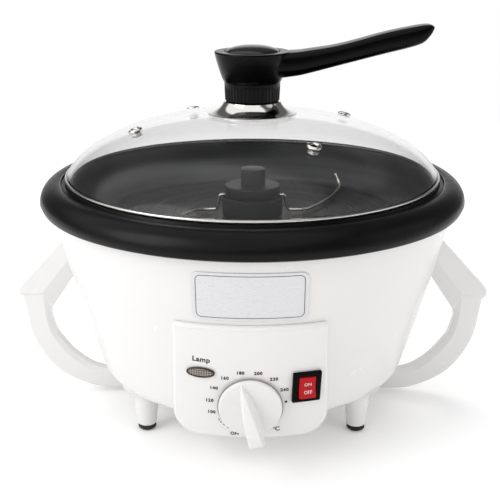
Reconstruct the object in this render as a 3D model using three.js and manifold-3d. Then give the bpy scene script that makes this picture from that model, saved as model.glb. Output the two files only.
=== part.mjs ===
// Home coffee bean roaster with a glass lid, a turning stirrer and a heated pan.
// Millimetres, +Z up, front toward -Y, origin on the table under the pan's axis.
import * as THREE from 'three';
import Module from 'manifold-3d';
import { mergeVertices } from 'three/addons/utils/BufferGeometryUtils.js';

const wasm = await Module();
wasm.setup();

// Fits, cutters and facets
const clearance = 0.3;
const runningGap = 0.4;
const overrun = 6;
const largeSides = 36;
const mediumSides = 24;
const smallSides = 12;
const screwSides = 8;
const innerSides = 24;
const hubSides = 18;

// Bowl-shaped housing, its foot height and the spigot under the rim
const bowlBaseZ = 27;
const bowlCornerRadius = 12;
const bowlTopZ = 145.2;
const bowlTopRadius = 136.8;
const bowlSpread = 40.8;
const bowlFlatRadius = bowlTopRadius - bowlSpread;
const bowlBulge = 1.2;
const bowlWall = 2.5;
const bowlFloorWidth = 22;
const bowlFloorHole = bowlFlatRadius - bowlFloorWidth;
const spigotInset = 2.6;
const spigotRadius = bowlTopRadius - spigotInset;
const spigotHeight = 12;
const spigotBlendDrop = 21;
const bowlSteps = 4;
const bowlInnerSteps = 2;
const wallSteps = 3;

// Legs and rubber pads
const legInset = 3;
const legCircle = bowlFlatRadius - legInset;
const legAngle = 50;
const legTopRadius = 8.3;
const legEndRadius = 6.4;
const legFlare = 3;
const legFlareHeight = 5;
const legRootHeight = 9;
const padHeight = 3.9;
const padRadius = 6.1;
const padFloorRadius = 4.2;
const padPegRadius = 2;
const padPegHeight = 6;
const padChamferShare = 0.4;

// Black rim
const rimOverhang = 8.2;
const rimRadius = bowlTopRadius + rimOverhang;
const rimSkirtOver = 1.5;
const rimSkirtRadius = bowlTopRadius + rimSkirtOver;
const rimTurnInset = 1.6;
const rimTurnDrop = 3.6;
const rimShoulderRise = 6;
const rimShoulderZ = bowlTopZ + rimShoulderRise;
const rimLipInset = 4;
const rimLipRadius = spigotRadius - rimLipInset;
const rimRise = 18.6;
const rimLipZ = bowlTopZ + rimRise;
const rimSeatDrop = 2.2;
const rimSeatZ = rimLipZ - rimSeatDrop;
const rimSeatWeb = 3;
const rimSeatWidth = 5.8;
const rimSeatRadius = rimLipRadius - rimSeatWidth;
const rimSteps = 4;

// Roasting pan
const panDepth = 25.1;
const panFloorZ = rimSeatZ - panDepth;
const panMouthGap = 2.1;
const panMouthRadius = rimSeatRadius - panMouthGap;
const panSpread = 21.3;
const panFloorRadius = panMouthRadius - panSpread;
const panWall = 1.8;
const panLipDrop = 4.5;
const panBead = 2.8;
const panBeadWidth = 3.2;
const panWallShares = [[0.22, 0.04], [0.45, 0.2], [0.8, 0.6]];
const panOutsideShares = [0.6, 0.8];
const panHeelShare = 0.3;
const collarBore = 6.5;
const collarWall = 1.7;
const collarHeight = 9.5;

// Inner heat shield
const linerDrop = 28.5;
const linerFloorZ = panFloorZ - linerDrop;
const linerFloorInset = 5;
const linerFloorRadius = panFloorRadius - linerFloorInset;
const linerFlangeInset = 0.6;
const linerFlangeRadius = spigotRadius - linerFlangeInset;
const linerFlange = 6.1;
const linerNeckRadius = linerFlangeRadius - linerFlange;
const linerNeckInset = 1.9;
const linerWaistRadius = linerNeckRadius - linerNeckInset;
const linerWaistRise = 4.8;
const linerWaistZ = bowlTopZ + linerWaistRise;
const linerHoleRadius = 10;
const linerSheet = 0.8;

// Heating element and what holds it
const heaterInset = 23;
const heaterRadius = panFloorRadius - heaterInset;
const heaterTube = 3.5;
const heaterGapAngle = 36;
const heaterSteps = 24;
const heaterTubeSides = 6;
const terminalRadius = 1.6;
const terminalLength = 15;
const clampWidth = 9;
const clampSheet = 1;
const clampFoot = 7;
const clampAngles = [-35, 215];

// Overheat fuse under the pan
const fuseRadius = 4;
const fuseLength = 22;
const fuseInset = 30;
const fuseOffset = heaterRadius - fuseInset;
const fuseTurn = 205;

// Drive shaft and bush
const shaftRadius = 4;
const shaftFlat = 0.9;
const bushFlange = 1.6;
const bushFlangeRadius = 8.4;

// Stirrer
const hubBaseGap = 0.5;
const hubLowerRadius = 20.8;
const hubLowerHeight = 12;
const hubGrooveRadius = 17.8;
const hubGrooveHeight = 2;
const hubUpperRadius = 19.2;
const hubUpperHeight = 6.5;
const hubPostRadius = 9.1;
const hubPostHeight = 11.3;
const hubPostFlat = 2.8;
const hubChamfer = 0.8;
const hubRoofWall = 6;
const hubCollarGap = 0.9;
const wireRadius = 1.1;
const wireSides = 6;
const wireSteps = 24;
const wireReachInset = 31;
const wireReach = panFloorRadius - wireReachInset;
const wireTipOut = 0.91374;
const wireDrop = 10;
const wireSocketDepth = 5;
const wireFloorGap = 1.4;
const wireDropShares = [[0.069, 1], [0.349, 0.86], [0.503, 0.55], [0.671, 0.18], [1.021, 0.02], [1.721, 0]];
const wireRunShares = [[0.73, 0.22], [0.885, 0.5], [0.97, 0.75], [0.97, 1]];
const wireTipX = wireRunShares.at(-1)[0] * wireReach;
const wireSweep = Math.sqrt((panFloorRadius + wireTipOut) ** 2 - wireTipX ** 2);

// Gear motor
const motorRadius = 33;
const motorWall = 1.2;
const motorDrop = 14;
const motorTopZ = linerFloorZ - motorDrop;
const motorDepth = 32;
const motorBaseZ = motorTopZ - motorDepth;
const motorOffset = 11;
const gearModule = 1.1;
const gearTeeth = 30;
const pinionTeeth = 10;
const gearThickness = 4;
const gearDrop = 8;
const gearBaseZ = motorTopZ - gearDrop;
const pinionOverlap = 1;
const toothRootShare = 0.29;
const toothTipShare = 0.11;
const addendumShare = 0.9;
const dedendumShare = 1.25;
const rotorRadius = 11;
const rotorLift = 4;
const rotorBaseZ = motorBaseZ + rotorLift;
const rotorHeight = 15;
const rotorPinRadius = 1.5;
const coilInner = 12.2;
const coilOuter = 17.8;
const coilHeight = 19;
const bracketSheet = 1.5;
const bracketWidth = 34;
const bracketSpan = 104;
const bracketFoot = 12;

// Screws, by thread radius
const screwRadius = 1.6;
const screwHeadRadius = 3.1;
const screwHeadHeight = 2;
const screwHoleGap = 0.4;
const screwTipGap = 0.5;
const screwSeatGap = 0.8;
const bracketScrewLength = 8;
const coverScrewLength = 7;
const handleScrewLength = 10;

// Base cover
const coverOverlap = 7;
const coverRadius = bowlFloorHole + coverOverlap;
const coverThickness = 2.3;
const coverScrewOut = 3.8;
const coverScrewCircle = bowlFloorHole + coverScrewOut;
const coverScrewAngles = [-90, 30, 150];
const coverSlotCount = 10;
const coverSlotWidth = 4;
const coverSlotLength = 22;
const coverSlotInset = 24;
const coverSlotCircle = bowlFloorHole - coverSlotInset;

// Side handles
const handleOut = 30.2;
const handleReach = bowlTopRadius + handleOut;
const handleTop = 118.5;
const handleHalfDepth = 6.5;
const handleTopHalfDepth = 3;
const handleCreaseShare = 0.65;
const handleOuterShares = [
  [0.698, 1.133], [0.796, 1], [0.984, 0.713], [1, 0.688], [1, 0.641], [0.982, 0.623],
  [0.975, 0.549], [0.956, 0.399], [0.916, 0.273], [0.857, 0.166], [0.774, 0.089], [0.68, 0.043],
  [0.559, 0.035], [0.559, 0.405],
];
const handleInnerShares = [
  [0.649, 0.996], [0.853, 0.576], [0.869, 0.523], [0.86, 0.435], [0.81, 0.316], [0.737, 0.214],
  [0.654, 0.159], [0.596, 0.152], [0.596, 0.6],
];
const handleScrewZ = 108;
const handleFootScrewOut = 0.4;
const handleFootScrewX = bowlFlatRadius + handleFootScrewOut;
const handleScrewLift = 1.5;

// Control fascia
const fasciaTopZ = 102.5;
const fasciaInset = 6.8;
const fasciaTopRadius = bowlTopRadius - fasciaInset;
const fasciaBottomZ = 24;
const fasciaLean = 8;
const fasciaDepth = 30;
const fasciaCoreRadius = fasciaTopRadius - fasciaDepth;
const fasciaWall = 2.4;
const fasciaTopHalfWidth = 46.5;
const fasciaBottomHalfWidth = 48.5;
const fasciaCorner = 15;
const fasciaTopCorner = 2;
const fasciaSides = 48;
const fasciaCornerSteps = 3;
const windowCornerSteps = 1;
const windowHalfWidth = 40;
const windowBottomZ = 38;
const windowDrop = 9.5;
const windowTopZ = fasciaTopZ - windowDrop;
const windowCorner = 6;
const fasciaScrewX = 36;
const fasciaScrewDrop = 4.9;
const fasciaScrewZ = fasciaTopZ - fasciaScrewDrop;
const fasciaScrewLength = 6.6;
const fasciaBossRadius = 2.9;

// Knob and thermostat
const knobZ = 48;
const knobRadius = 19.6;
const knobDiscHeight = 3;
const knobLift = 1;
const knobEdge = 0.8;
const knobCapDrop = 0.6;
const knobHub = 5.5;
const gripHeight = 15;
const gripTopShares = [[-0.86, 0.03], [-0.5, 0.15], [0, 0.2], [0.6, 0.2], [0.97, 0.17]];
const gripRiseShares = [[-0.86, 0.04], [-0.3, 0.6], [0.3, 0.92], [0.9, 1], [1.02, 0.88], [1, 0]];
const knobTurn = 15;
const spindleRadius = 3;
const spindleGap = 0.4;
const spindleInKnob = 8;
const spindleInBody = 6;
const thermostatWidth = 34;
const thermostatHeight = 19;
const thermostatDepth = 20;
const thermostatSetback = 7;
const thermostatNeckRadius = 5.5;
const capillaryRadius = 1;
const capillarySteps = 18;
const capillarySides = 6;
const capillaryHole = 1.7;
const bulbRadius = 3;
const bulbLength = 46;
const bulbInset = 32;
const bulbY = bulbInset - heaterRadius;
const capillaryX = 27;
const capillaryBend = 16;
const capillaryStub = 6;
const capillaryBackShares = [0.8, 0.3];

// Rocker switch
const switchX = 34;
const switchZ = 60.5;
const bezelWidth = 18;
const bezelHeight = 20.8;
const bezelThickness = 2;
const bezelLift = 0.4;
const switchBodyWidth = 14;
const switchBodyHeight = 18;
const switchBodyDepth = 17;
const pocketWidth = 11.4;
const pocketHeight = 15.9;
const pocketDepth = 8.5;
const rockerWidth = 10.6;
const rockerHalfHeight = 7;
const rockerEdgeHeight = 2.8;
const rockerValleyHeight = 1.3;
const rockerUnderside = 1.8;
const rockerPivotDepth = 1.2;
const rockerTilt = 9;
const rockerPinRadius = 0.5;
const rockerPinGap = 0.3;
const rockerPinLength = 0.8;

// Indicator lamp
const lampX = -30;
const lampZ = 70.5;
const lampHalfWidth = 9;
const lampHalfHeight = 3.6;
const lampLift = 1;
const lampLip = 0.8;
const neonRadius = 2.6;
const neonLength = 13;

// Front plate, left bare
const plateHalfWidth = 34.5;
const plateBottomZ = 105.6;
const plateTopZ = 138;
const plateCorner = 4.5;
const plateThickness = 0.5;
const plateCornerSteps = 3;

// Mains inlet gland at the back
const glandZ = 46;
const glandRadius = 6;
const glandFlangeRadius = 9;
const glandFlange = 2.2;
const glandLength = 12;
const glandBore = 3.6;

// Glass lid
const domeInset = 0.4;
const domeHalfWidth = rimLipRadius - domeInset;
const domeHalfHeight = 52.8;
const domeDrop = 8;
const domeCentreZ = rimLipZ - domeDrop;
const glass = 4;
const domeSteps = 5;
const lidGap = 0.3;
const lidRingInset = 2;
const lidRingRadius = domeHalfWidth - lidRingInset;
const lidRingHeight = 3.6;
const lidRingSheet = 0.8;
const lidRingFlange = 4.6;
const ventCircle = 79.7;
const ventAngles = [-61, 34, 124, -166];
const ventHole = 2.9;
const eyeletBore = 1.7;
const eyeletTube = 2.6;
const eyeletFlange = 3.8;
const eyeletFlangeHeight = 0.9;
const eyeletLip = 3.5;
const eyeletUnderGap = 0.5;
const lidBore = 2.6;

// Lid handle, skirt and fixing
const skirtRadius = 30.4;
const skirtTopRadius = 19.4;
const skirtRise = 6.4;
const skirtTopZ = domeCentreZ + domeHalfHeight + skirtRise;
const skirtSheet = 0.8;
const skirtShares = [[1, 0.04], [0.55, 0.22], [0.2, 0.56], [0, 1]];
const neckRadius = 18.4;
const neckTopRadius = 18.9;
const neckRise = 13;
const neckTopZ = skirtTopZ + neckRise;
const cupRadius = 25.4;
const cupRise = 20.3;
const cupTopZ = neckTopZ + cupRise;
const cupShares = [[0, 0], [0.4, 0.29], [0.8, 0.7], [1, 0.96]];
const cupLip = 1.2;
const capRecessRadius = 18.6;
const capRecessDepth = 3.4;
const capRise = 5.2;
const capSteps = 3;
const armReach = 120;
const armRise = 17.7;
const armTipZ = cupTopZ + armRise;
const armRootHalfWidth = 15;
const armTopShares = [
  [0, 0.53], [0.16, 0.53], [0.26, 0.545], [0.43, 0.623], [0.6, 0.75], [0.76, 0.885], [0.93, 0.99], [0.965, 1],
];
const armUnderShares = [
  [1, 0.94], [0.985, 0.83], [0.945, 0.69], [0.85, 0.585], [0.65, 0.43], [0.49, 0.3], [0.35, 0.19],
  [0.325, 0.155], [0.18, 0.085], [0, 0.06],
];
const armPlanShares = [
  [0, 1], [0.15, 1], [0.3, 0.83], [0.55, 0.7], [0.8, 0.68], [0.95, 0.66], [0.99, 0.5], [1.01, 0.28],
];
const lidScrewRadius = 2;
const lidScrewHead = 3.8;
const lidScrewHeadHeight = 3;
const lidScrewFaceShare = 0.75;
const lidScrewEdgeShare = 0.4;
const lidScrewDepth = 24;
const gasketRadius = 11;
const gasketThickness = 1.2;

// Materials
const white = { color: 0xeeecea, roughness: 0.3, metalness: 0 };
const black = { color: 0x151516, roughness: 0.45, metalness: 0 };
const steel = { color: 0xc9c7c2, roughness: 0.25, metalness: 1 };
const zinc = { color: 0xa9abac, roughness: 0.5, metalness: 0.9 };
const chrome = { color: 0xdedbd6, roughness: 0.08, metalness: 1 };
const nonStick = { color: 0x2f3032, roughness: 0.4, metalness: 0.2 };
const hubGrey = { color: 0x3c3d3f, roughness: 0.55, metalness: 0 };
const rubber = { color: 0x101010, roughness: 0.8, metalness: 0 };
const glassClear = { color: 0xeaf0f0, roughness: 0.03, metalness: 0, transparent: true, opacity: 0.3 };
const red = { color: 0xc8101c, roughness: 0.3, metalness: 0 };
const smoke = { color: 0x857a70, roughness: 0.35, metalness: 0 };
const silverFilm = { color: 0xd9dde2, roughness: 0.35, metalness: 0.3 };
const brass = { color: 0xc9a45c, roughness: 0.35, metalness: 1 };
const copper = { color: 0xb06a3c, roughness: 0.45, metalness: 0.9 };
const nylon = { color: 0xe6e0cf, roughness: 0.5, metalness: 0 };

// Turning closed geometry into solids and back
const radians = THREE.MathUtils.degToRad;

function bare(geometry) {
  geometry.deleteAttribute('normal');
  geometry.deleteAttribute('uv');
  return mergeVertices(geometry);
}

function signedVolume(geometry) {
  const place = geometry.attributes.position;
  const corners = geometry.index.array;
  const a = new THREE.Vector3();
  const b = new THREE.Vector3();
  const c = new THREE.Vector3();
  let sum = 0;
  for (let i = 0; i < corners.length; i += 3) {
    a.fromBufferAttribute(place, corners[i]);
    b.fromBufferAttribute(place, corners[i + 1]);
    c.fromBufferAttribute(place, corners[i + 2]);
    sum += a.dot(b.cross(c));
  }
  return sum / 6;
}

function dropSlivers(geometry) {
  const kept = [];
  const corners = geometry.index.array;
  for (let i = 0; i < corners.length; i += 3) {
    const [a, b, c] = corners.slice(i, i + 3);
    if (a !== b && b !== c && c !== a) kept.push(a, b, c);
  }
  geometry.setIndex(kept);
  return geometry;
}

function facingOut(geometry) {
  const body = dropSlivers(bare(geometry));
  if (signedVolume(body) < 0) {
    const corners = Array.from(body.index.array);
    for (let i = 0; i < corners.length; i += 3) {
      [corners[i + 1], corners[i + 2]] = [corners[i + 2], corners[i + 1]];
    }
    body.setIndex(corners);
  }
  return body;
}

function solid(geometry) {
  const body = facingOut(geometry);
  return new wasm.Manifold(new wasm.Mesh({
    numProp: 3,
    vertProperties: new Float32Array(body.attributes.position.array),
    triVerts: new Uint32Array(body.index.array),
  }));
}

function geometryOf(manifold) {
  const mesh = manifold.getMesh();
  const geometry = new THREE.BufferGeometry();
  geometry.setAttribute('position', new THREE.BufferAttribute(new Float32Array(mesh.vertProperties), 3));
  geometry.setIndex(Array.from(mesh.triVerts));
  return geometry;
}

function cut(body, ...tools) {
  return geometryOf(tools.reduce((left, tool) => left.subtract(solid(tool)), solid(body)));
}

function join(...bodies) {
  return geometryOf(bodies.map(solid).reduce((left, right) => left.add(right)));
}

function common(body, ...others) {
  return geometryOf(others.reduce((left, other) => left.intersect(solid(other)), solid(body)));
}

// Basic forms, all with +Z as their axis
function turned(profile, sides) {
  const points = profile.map(([radius, z]) => new THREE.Vector2(radius, z));
  return new THREE.LatheGeometry(points, sides).rotateX(Math.PI / 2);
}

function ring(profile, sides) {
  return turned([...profile, profile[0]], sides);
}

function rod(radius, lowZ, highZ, sides) {
  return turned([[0, lowZ], [radius, lowZ], [radius, highZ], [0, highZ]], sides);
}

function tube(inner, outer, lowZ, highZ, sides) {
  return ring([[inner, lowZ], [outer, lowZ], [outer, highZ], [inner, highZ]], sides);
}

function shapeOf(points) {
  return new THREE.Shape(points.map(([x, y]) => new THREE.Vector2(x, y)));
}

function raised(shape, lowZ, highZ) {
  const geometry = new THREE.ExtrudeGeometry(shape, { depth: highZ - lowZ, bevelEnabled: false });
  return geometry.translate(0, 0, lowZ);
}

function block(width, depth, lowZ, highZ) {
  const geometry = new THREE.BoxGeometry(width, depth, highZ - lowZ);
  return geometry.translate(0, 0, (lowZ + highZ) / 2);
}

// An outline in X and Z, pushed through from one Y to another
function pushedAlongY(shape, lowY, highY) {
  return raised(shape, -highY, -lowY).rotateX(Math.PI / 2);
}

function pipe(points, radius, sides, steps) {
  const section = new THREE.Shape();
  section.absarc(0, 0, radius, 0, Math.PI * 2);
  const path = new THREE.CatmullRomCurve3(points.map((point) => new THREE.Vector3(...point)));
  return new THREE.ExtrudeGeometry(section, {
    steps, curveSegments: sides / 2, bevelEnabled: false, extrudePath: path,
  });
}

function roundedCorner(points, x, y, radius, fromAngle, steps) {
  for (let i = 0; i <= steps; i += 1) {
    const angle = radians(fromAngle + (90 * i) / steps);
    points.push([x + radius * Math.cos(angle), y + radius * Math.sin(angle)]);
  }
}

function roundedBox(halfWidth, lowY, highY, radius, steps) {
  const points = [];
  roundedCorner(points, halfWidth - radius, highY - radius, radius, 0, steps);
  roundedCorner(points, radius - halfWidth, highY - radius, radius, 90, steps);
  roundedCorner(points, radius - halfWidth, lowY + radius, radius, 180, steps);
  roundedCorner(points, halfWidth - radius, lowY + radius, radius, 270, steps);
  return shapeOf(points);
}

// A piece: one named mesh with its own material
function piece(name, geometry, finish) {
  const mesh = new THREE.Mesh(facingOut(geometry), new THREE.MeshStandardMaterial(finish));
  mesh.name = name;
  return mesh;
}

// Screws point down at first, head up, with the underside of the head at the origin
function screw(length) {
  return turned([
    [0, -length], [screwRadius, -length], [screwRadius, 0], [screwHeadRadius, 0],
    [screwRadius, screwHeadHeight], [0, screwHeadHeight],
  ], screwSides);
}

function screwHole(length) {
  return rod(screwRadius + screwHoleGap, -length - screwTipGap, overrun, screwSides);
}

function around(geometry, circle, angle) {
  return geometry.translate(circle, 0, 0).rotateZ(radians(angle));
}

// Outer wall of the bowl: radius at any height
const cornerCentreZ = bowlBaseZ + bowlCornerRadius;
const wallLean = Math.atan2(bowlTopRadius - bowlFlatRadius - bowlCornerRadius, bowlTopZ - cornerCentreZ);

function cornerArc(radius, steps) {
  const points = [];
  for (let i = 0; i <= steps; i += 1) {
    const angle = -Math.PI / 2 + ((Math.PI / 2 - wallLean) * i) / steps;
    points.push([bowlFlatRadius + radius * Math.cos(angle), cornerCentreZ + radius * Math.sin(angle)]);
  }
  return points;
}

const wallStart = cornerArc(bowlCornerRadius, bowlSteps).at(-1);
const screwSeat = bowlWall + clearance + screwHeadRadius * Math.tan(wallLean) + screwSeatGap;

function bowlRadius(z) {
  if (z < wallStart[1]) {
    const below = Math.min(cornerCentreZ - z, bowlCornerRadius);
    return bowlFlatRadius + Math.sqrt(bowlCornerRadius ** 2 - below ** 2);
  }
  const share = (z - wallStart[1]) / (bowlTopZ - wallStart[1]);
  const straight = wallStart[0] + (bowlTopRadius - wallStart[0]) * share;
  return straight + 4 * bowlBulge * share * (1 - share);
}

function wallPoints(offset, topZ, steps) {
  const points = [];
  for (let i = 1; i <= steps; i += 1) {
    const z = wallStart[1] + ((topZ - wallStart[1]) * i) / steps;
    points.push([bowlRadius(z) - offset, z]);
  }
  return points;
}

// Solid of the bowl's outer form, grown by a gap, for trimming what sits against it
function bowlForm(gap) {
  return turned([
    [0, bowlBaseZ - gap], ...cornerArc(bowlCornerRadius + gap, bowlSteps), ...wallPoints(-gap, bowlTopZ, wallSteps),
    [bowlTopRadius + gap, bowlTopZ + overrun], [0, bowlTopZ + overrun],
  ], largeSides);
}

// Frames on the outside of the leaning, curved fascia: local +Z points out, +Y up
function fasciaRadius(z) {
  return fasciaTopRadius - (fasciaTopZ - z) * Math.tan(radians(fasciaLean));
}

function onFascia(x, z) {
  const turn = Math.asin(x / fasciaRadius(z));
  const lean = radians(fasciaLean);
  const out = new THREE.Vector3(
    Math.sin(turn) * Math.cos(lean), -Math.cos(turn) * Math.cos(lean), -Math.sin(lean));
  const up = new THREE.Vector3(Math.sin(turn) * Math.sin(lean), -Math.cos(turn) * Math.sin(lean), Math.cos(lean));
  const right = new THREE.Vector3().crossVectors(up, out);
  const frame = new THREE.Matrix4().makeBasis(right, up, out);
  return frame.setPosition(fasciaRadius(z) * Math.sin(turn), -fasciaRadius(z) * Math.cos(turn), z);
}

function frameGroup(matrix) {
  const group = new THREE.Group();
  group.applyMatrix4(matrix);
  return group;
}

// White housing with its legs moulded on
const spigotTopZ = bowlTopZ + spigotHeight;
const spigotInner = spigotRadius - bowlWall;
const floorTopZ = bowlBaseZ + bowlWall;
const legAngles = [-90 - legAngle, -90 + legAngle, 90 - legAngle, 90 + legAngle];

function handleScrewPlaces() {
  const places = [];
  for (const side of [0, 180]) {
    const seat = bowlRadius(handleScrewZ) - screwSeat;
    places.push(new THREE.Matrix4().makeRotationZ(radians(side))
      .multiply(new THREE.Matrix4().makeTranslation(seat, 0, handleScrewZ))
      .multiply(new THREE.Matrix4().makeRotationY(-Math.PI / 2)));
    places.push(new THREE.Matrix4().makeRotationZ(radians(side))
      .multiply(new THREE.Matrix4().makeTranslation(handleFootScrewX, 0, floorTopZ + handleScrewLift)));
  }
  return places;
}

function legForm() {
  return turned([
    [0, padHeight + clearance], [legEndRadius, padHeight + clearance],
    [legTopRadius, bowlBaseZ - legFlareHeight], [legTopRadius + legFlare, bowlBaseZ],
    [legTopRadius + 2 * legFlare, bowlBaseZ + legFlareHeight], [0, bowlBaseZ + legRootHeight],
  ], smallSides);
}

function outerShell() {
  const walls = ring([
    [bowlFloorHole, bowlBaseZ], ...cornerArc(bowlCornerRadius, bowlSteps), ...wallPoints(0, bowlTopZ, wallSteps),
    [spigotRadius, bowlTopZ], [spigotRadius, spigotTopZ], [spigotInner, spigotTopZ],
    [spigotInner, bowlTopZ - spigotBlendDrop / 2],
    ...wallPoints(bowlWall, bowlTopZ - spigotBlendDrop, 1).reverse(),
    ...cornerArc(bowlCornerRadius - bowlWall, bowlInnerSteps).reverse(), [bowlFloorHole, floorTopZ],
  ], largeSides);
  const inside = bowlForm(-bowlWall / 2);
  const legs = legAngles.map((angle) => cut(around(legForm(), legCircle, angle), inside));
  const pegHoles = legAngles.map((angle) => around(
    rod(padPegRadius + clearance, 0, padHeight + padPegHeight + 2 * clearance, smallSides), legCircle, angle));
  const window = pushedAlongY(
    roundedBox(windowHalfWidth, windowBottomZ, windowTopZ, windowCorner, windowCornerSteps),
    -bowlTopRadius - overrun, -bowlFlatRadius + overrun);
  const glandHole = rod(glandRadius + clearance, -2 * overrun, overrun, smallSides).applyMatrix4(glandPlace());
  const screwHoles = handleScrewPlaces().map((place) => screwHole(handleScrewLength).applyMatrix4(place));
  const coverHoles = coverScrewAngles.map((angle) => around(
    rod(screwRadius + screwHoleGap, bowlBaseZ - overrun, floorTopZ + overrun, screwSides), coverScrewCircle, angle));
  const fasciaHoles = [-fasciaScrewX, fasciaScrewX].map((x) => screwHole(fasciaScrewLength)
    .applyMatrix4(fasciaScrewPlace(x)));
  return cut(join(walls, ...legs), ...pegHoles, window, glandHole, ...screwHoles, ...coverHoles, ...fasciaHoles);
}

function footPad() {
  return turned([
    [0, 0], [padFloorRadius, 0], [padRadius, padHeight * padChamferShare], [padRadius, padHeight],
    [padPegRadius, padHeight], [padPegRadius, padHeight + padPegHeight], [0, padHeight + padPegHeight],
  ], smallSides);
}

// Base cover with vent slots
const coverTopZ = bowlBaseZ - clearance;

function baseCover() {
  const disc = rod(coverRadius, coverTopZ - coverThickness, coverTopZ, largeSides);
  const slots = Array.from({ length: coverSlotCount }, (_, i) => around(
    block(coverSlotLength, coverSlotWidth, coverTopZ - coverThickness - overrun, coverTopZ + overrun),
    coverSlotCircle, (360 * (i + 0.5)) / coverSlotCount));
  const holes = coverScrewAngles.map((angle) => around(
    rod(screwRadius + screwHoleGap, coverTopZ - coverThickness - overrun, coverTopZ + overrun, screwSides),
    coverScrewCircle, angle));
  return cut(disc, ...slots, ...holes);
}

function coverScrew(angle) {
  const seatZ = coverTopZ - coverThickness - clearance;
  return around(screw(coverScrewLength).rotateX(Math.PI).translate(0, 0, seatZ), coverScrewCircle, angle);
}

// Side handles: a flat D band whose upper bar narrows toward the rim
function handleOutline(shares) {
  return shapeOf(shares.map(([x, z]) => [x * handleReach, z * handleTop]));
}

function sideHandle() {
  const creaseZ = handleCreaseShare * handleTop;
  const highZ = handleOuterShares[0][1] * handleTop;
  const lean = (handleHalfDepth - handleTopHalfDepth) / (handleTop - creaseZ);
  const narrowHalf = handleHalfDepth - lean * (highZ - creaseZ);
  const side = shapeOf([
    [-handleHalfDepth, 0], [handleHalfDepth, 0], [handleHalfDepth, creaseZ], [narrowHalf, highZ],
    [-narrowHalf, highZ], [-handleHalfDepth, creaseZ],
  ]);
  const sideSlab = pushedAlongY(side, -handleReach - overrun, 0).rotateZ(Math.PI / 2);
  const outer = pushedAlongY(handleOutline(handleOuterShares), -handleHalfDepth, handleHalfDepth);
  const inner = pushedAlongY(
    handleOutline(handleInnerShares), -handleHalfDepth - overrun, handleHalfDepth + overrun);
  const holes = handleScrewPlaces().slice(0, 2).map((place) => screwHole(handleScrewLength).applyMatrix4(place));
  return cut(common(outer, sideSlab), inner, bowlForm(clearance), ...holes);
}

// Black rim that caps the housing and seats the pan
function rimCurve() {
  const points = [];
  for (let i = 0; i <= rimSteps; i += 1) {
    const angle = (Math.PI / 2) * (i / rimSteps);
    points.push([
      rimLipRadius + (rimRadius - rimLipRadius) * Math.cos(angle),
      rimShoulderZ + (rimLipZ - rimShoulderZ) * Math.sin(angle),
    ]);
  }
  return points;
}

function rim() {
  const bottomZ = bowlTopZ + clearance;
  const innerRadius = spigotRadius + runningGap;
  const webZ = rimSeatZ - rimSeatWeb;
  return ring([
    [innerRadius, bottomZ], [rimSkirtRadius, bottomZ],
    [rimRadius - rimTurnInset, rimShoulderZ - rimTurnDrop], ...rimCurve(), [rimLipRadius, rimSeatZ],
    [rimSeatRadius, rimSeatZ], [rimSeatRadius, webZ], [innerRadius, webZ],
  ], largeSides);
}

// Roasting pan with a rolled bead and a collar for the shaft
const panBeadZ = rimSeatZ + clearance;
const panTopZ = panBeadZ + panBead;
const panBeadRadius = rimLipRadius - clearance;
const collarTopZ = panFloorZ + collarHeight;

function pan() {
  const rise = panTopZ - panLipDrop - panFloorZ;
  const reach = panMouthRadius - panFloorRadius;
  const wall = panWallShares.map(([out, up]) => [panFloorRadius + out * reach, panFloorZ + up * rise]);
  const [outShare, downShare] = panOutsideShares;
  const outside = wall.map(([radius, z]) => [radius + panWall * outShare, z - panWall * downShare]);
  return ring([
    [collarBore, panFloorZ - panWall], [panFloorRadius + panWall * panHeelShare, panFloorZ - panWall], ...outside,
    [panMouthRadius + panWall / 2, panTopZ - panLipDrop], [panMouthRadius + panWall, panTopZ - panWall],
    [panBeadRadius - panBeadWidth, panTopZ - panWall], [panBeadRadius - panBeadWidth, panBeadZ],
    [panBeadRadius, panBeadZ], [panBeadRadius, panTopZ], [panMouthRadius, panTopZ],
    [panMouthRadius - panWall / 2, panTopZ - panLipDrop], ...wall.reverse(), [panFloorRadius, panFloorZ],
    [collarBore + collarWall, panFloorZ], [collarBore + collarWall, collarTopZ], [collarBore, collarTopZ],
  ], largeSides);
}

// Bush in the pan's collar
const panUnderZ = panFloorZ - panWall;

function bush() {
  const bore = shaftRadius + clearance;
  const lowZ = panUnderZ - clearance;
  return ring([
    [bore, lowZ - bushFlange], [bushFlangeRadius, lowZ - bushFlange], [bushFlangeRadius, lowZ],
    [collarBore - clearance, lowZ], [collarBore - clearance, collarTopZ], [bore, collarTopZ],
  ], smallSides);
}

// Inner heat shield, hung between the housing's spigot and the rim
const linerFlangeZ = spigotTopZ + clearance;

function capillaryPoints() {
  const bulbZ = panUnderZ - clearance - bulbRadius;
  const body = new THREE.Vector3(0, thermostatHeight / 2, -thermostatSetback - thermostatDepth / 2)
    .applyMatrix4(onFascia(0, knobZ));
  const startX = bulbLength / 2 + clearance;
  const routeY = (body.y + bulbY) / 2;
  const [farShare, nearShare] = capillaryBackShares;
  return [
    [startX, bulbY, bulbZ], [startX + 2 * capillaryRadius, bulbY, bulbZ],
    [capillaryX + 2 * capillaryRadius, bulbY, linerFloorZ + capillaryBend],
    [capillaryX, bulbY, linerFloorZ + linerSheet], [capillaryX, bulbY, linerFloorZ - capillaryStub],
    [capillaryX * farShare, routeY, (linerFloorZ + body.z) / 2],
    [capillaryX * nearShare, body.y, body.z + 2 * capillaryStub],
    [0, body.y - capillaryRadius, body.z + capillaryStub], [0, body.y, body.z + clearance],
  ];
}

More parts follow.
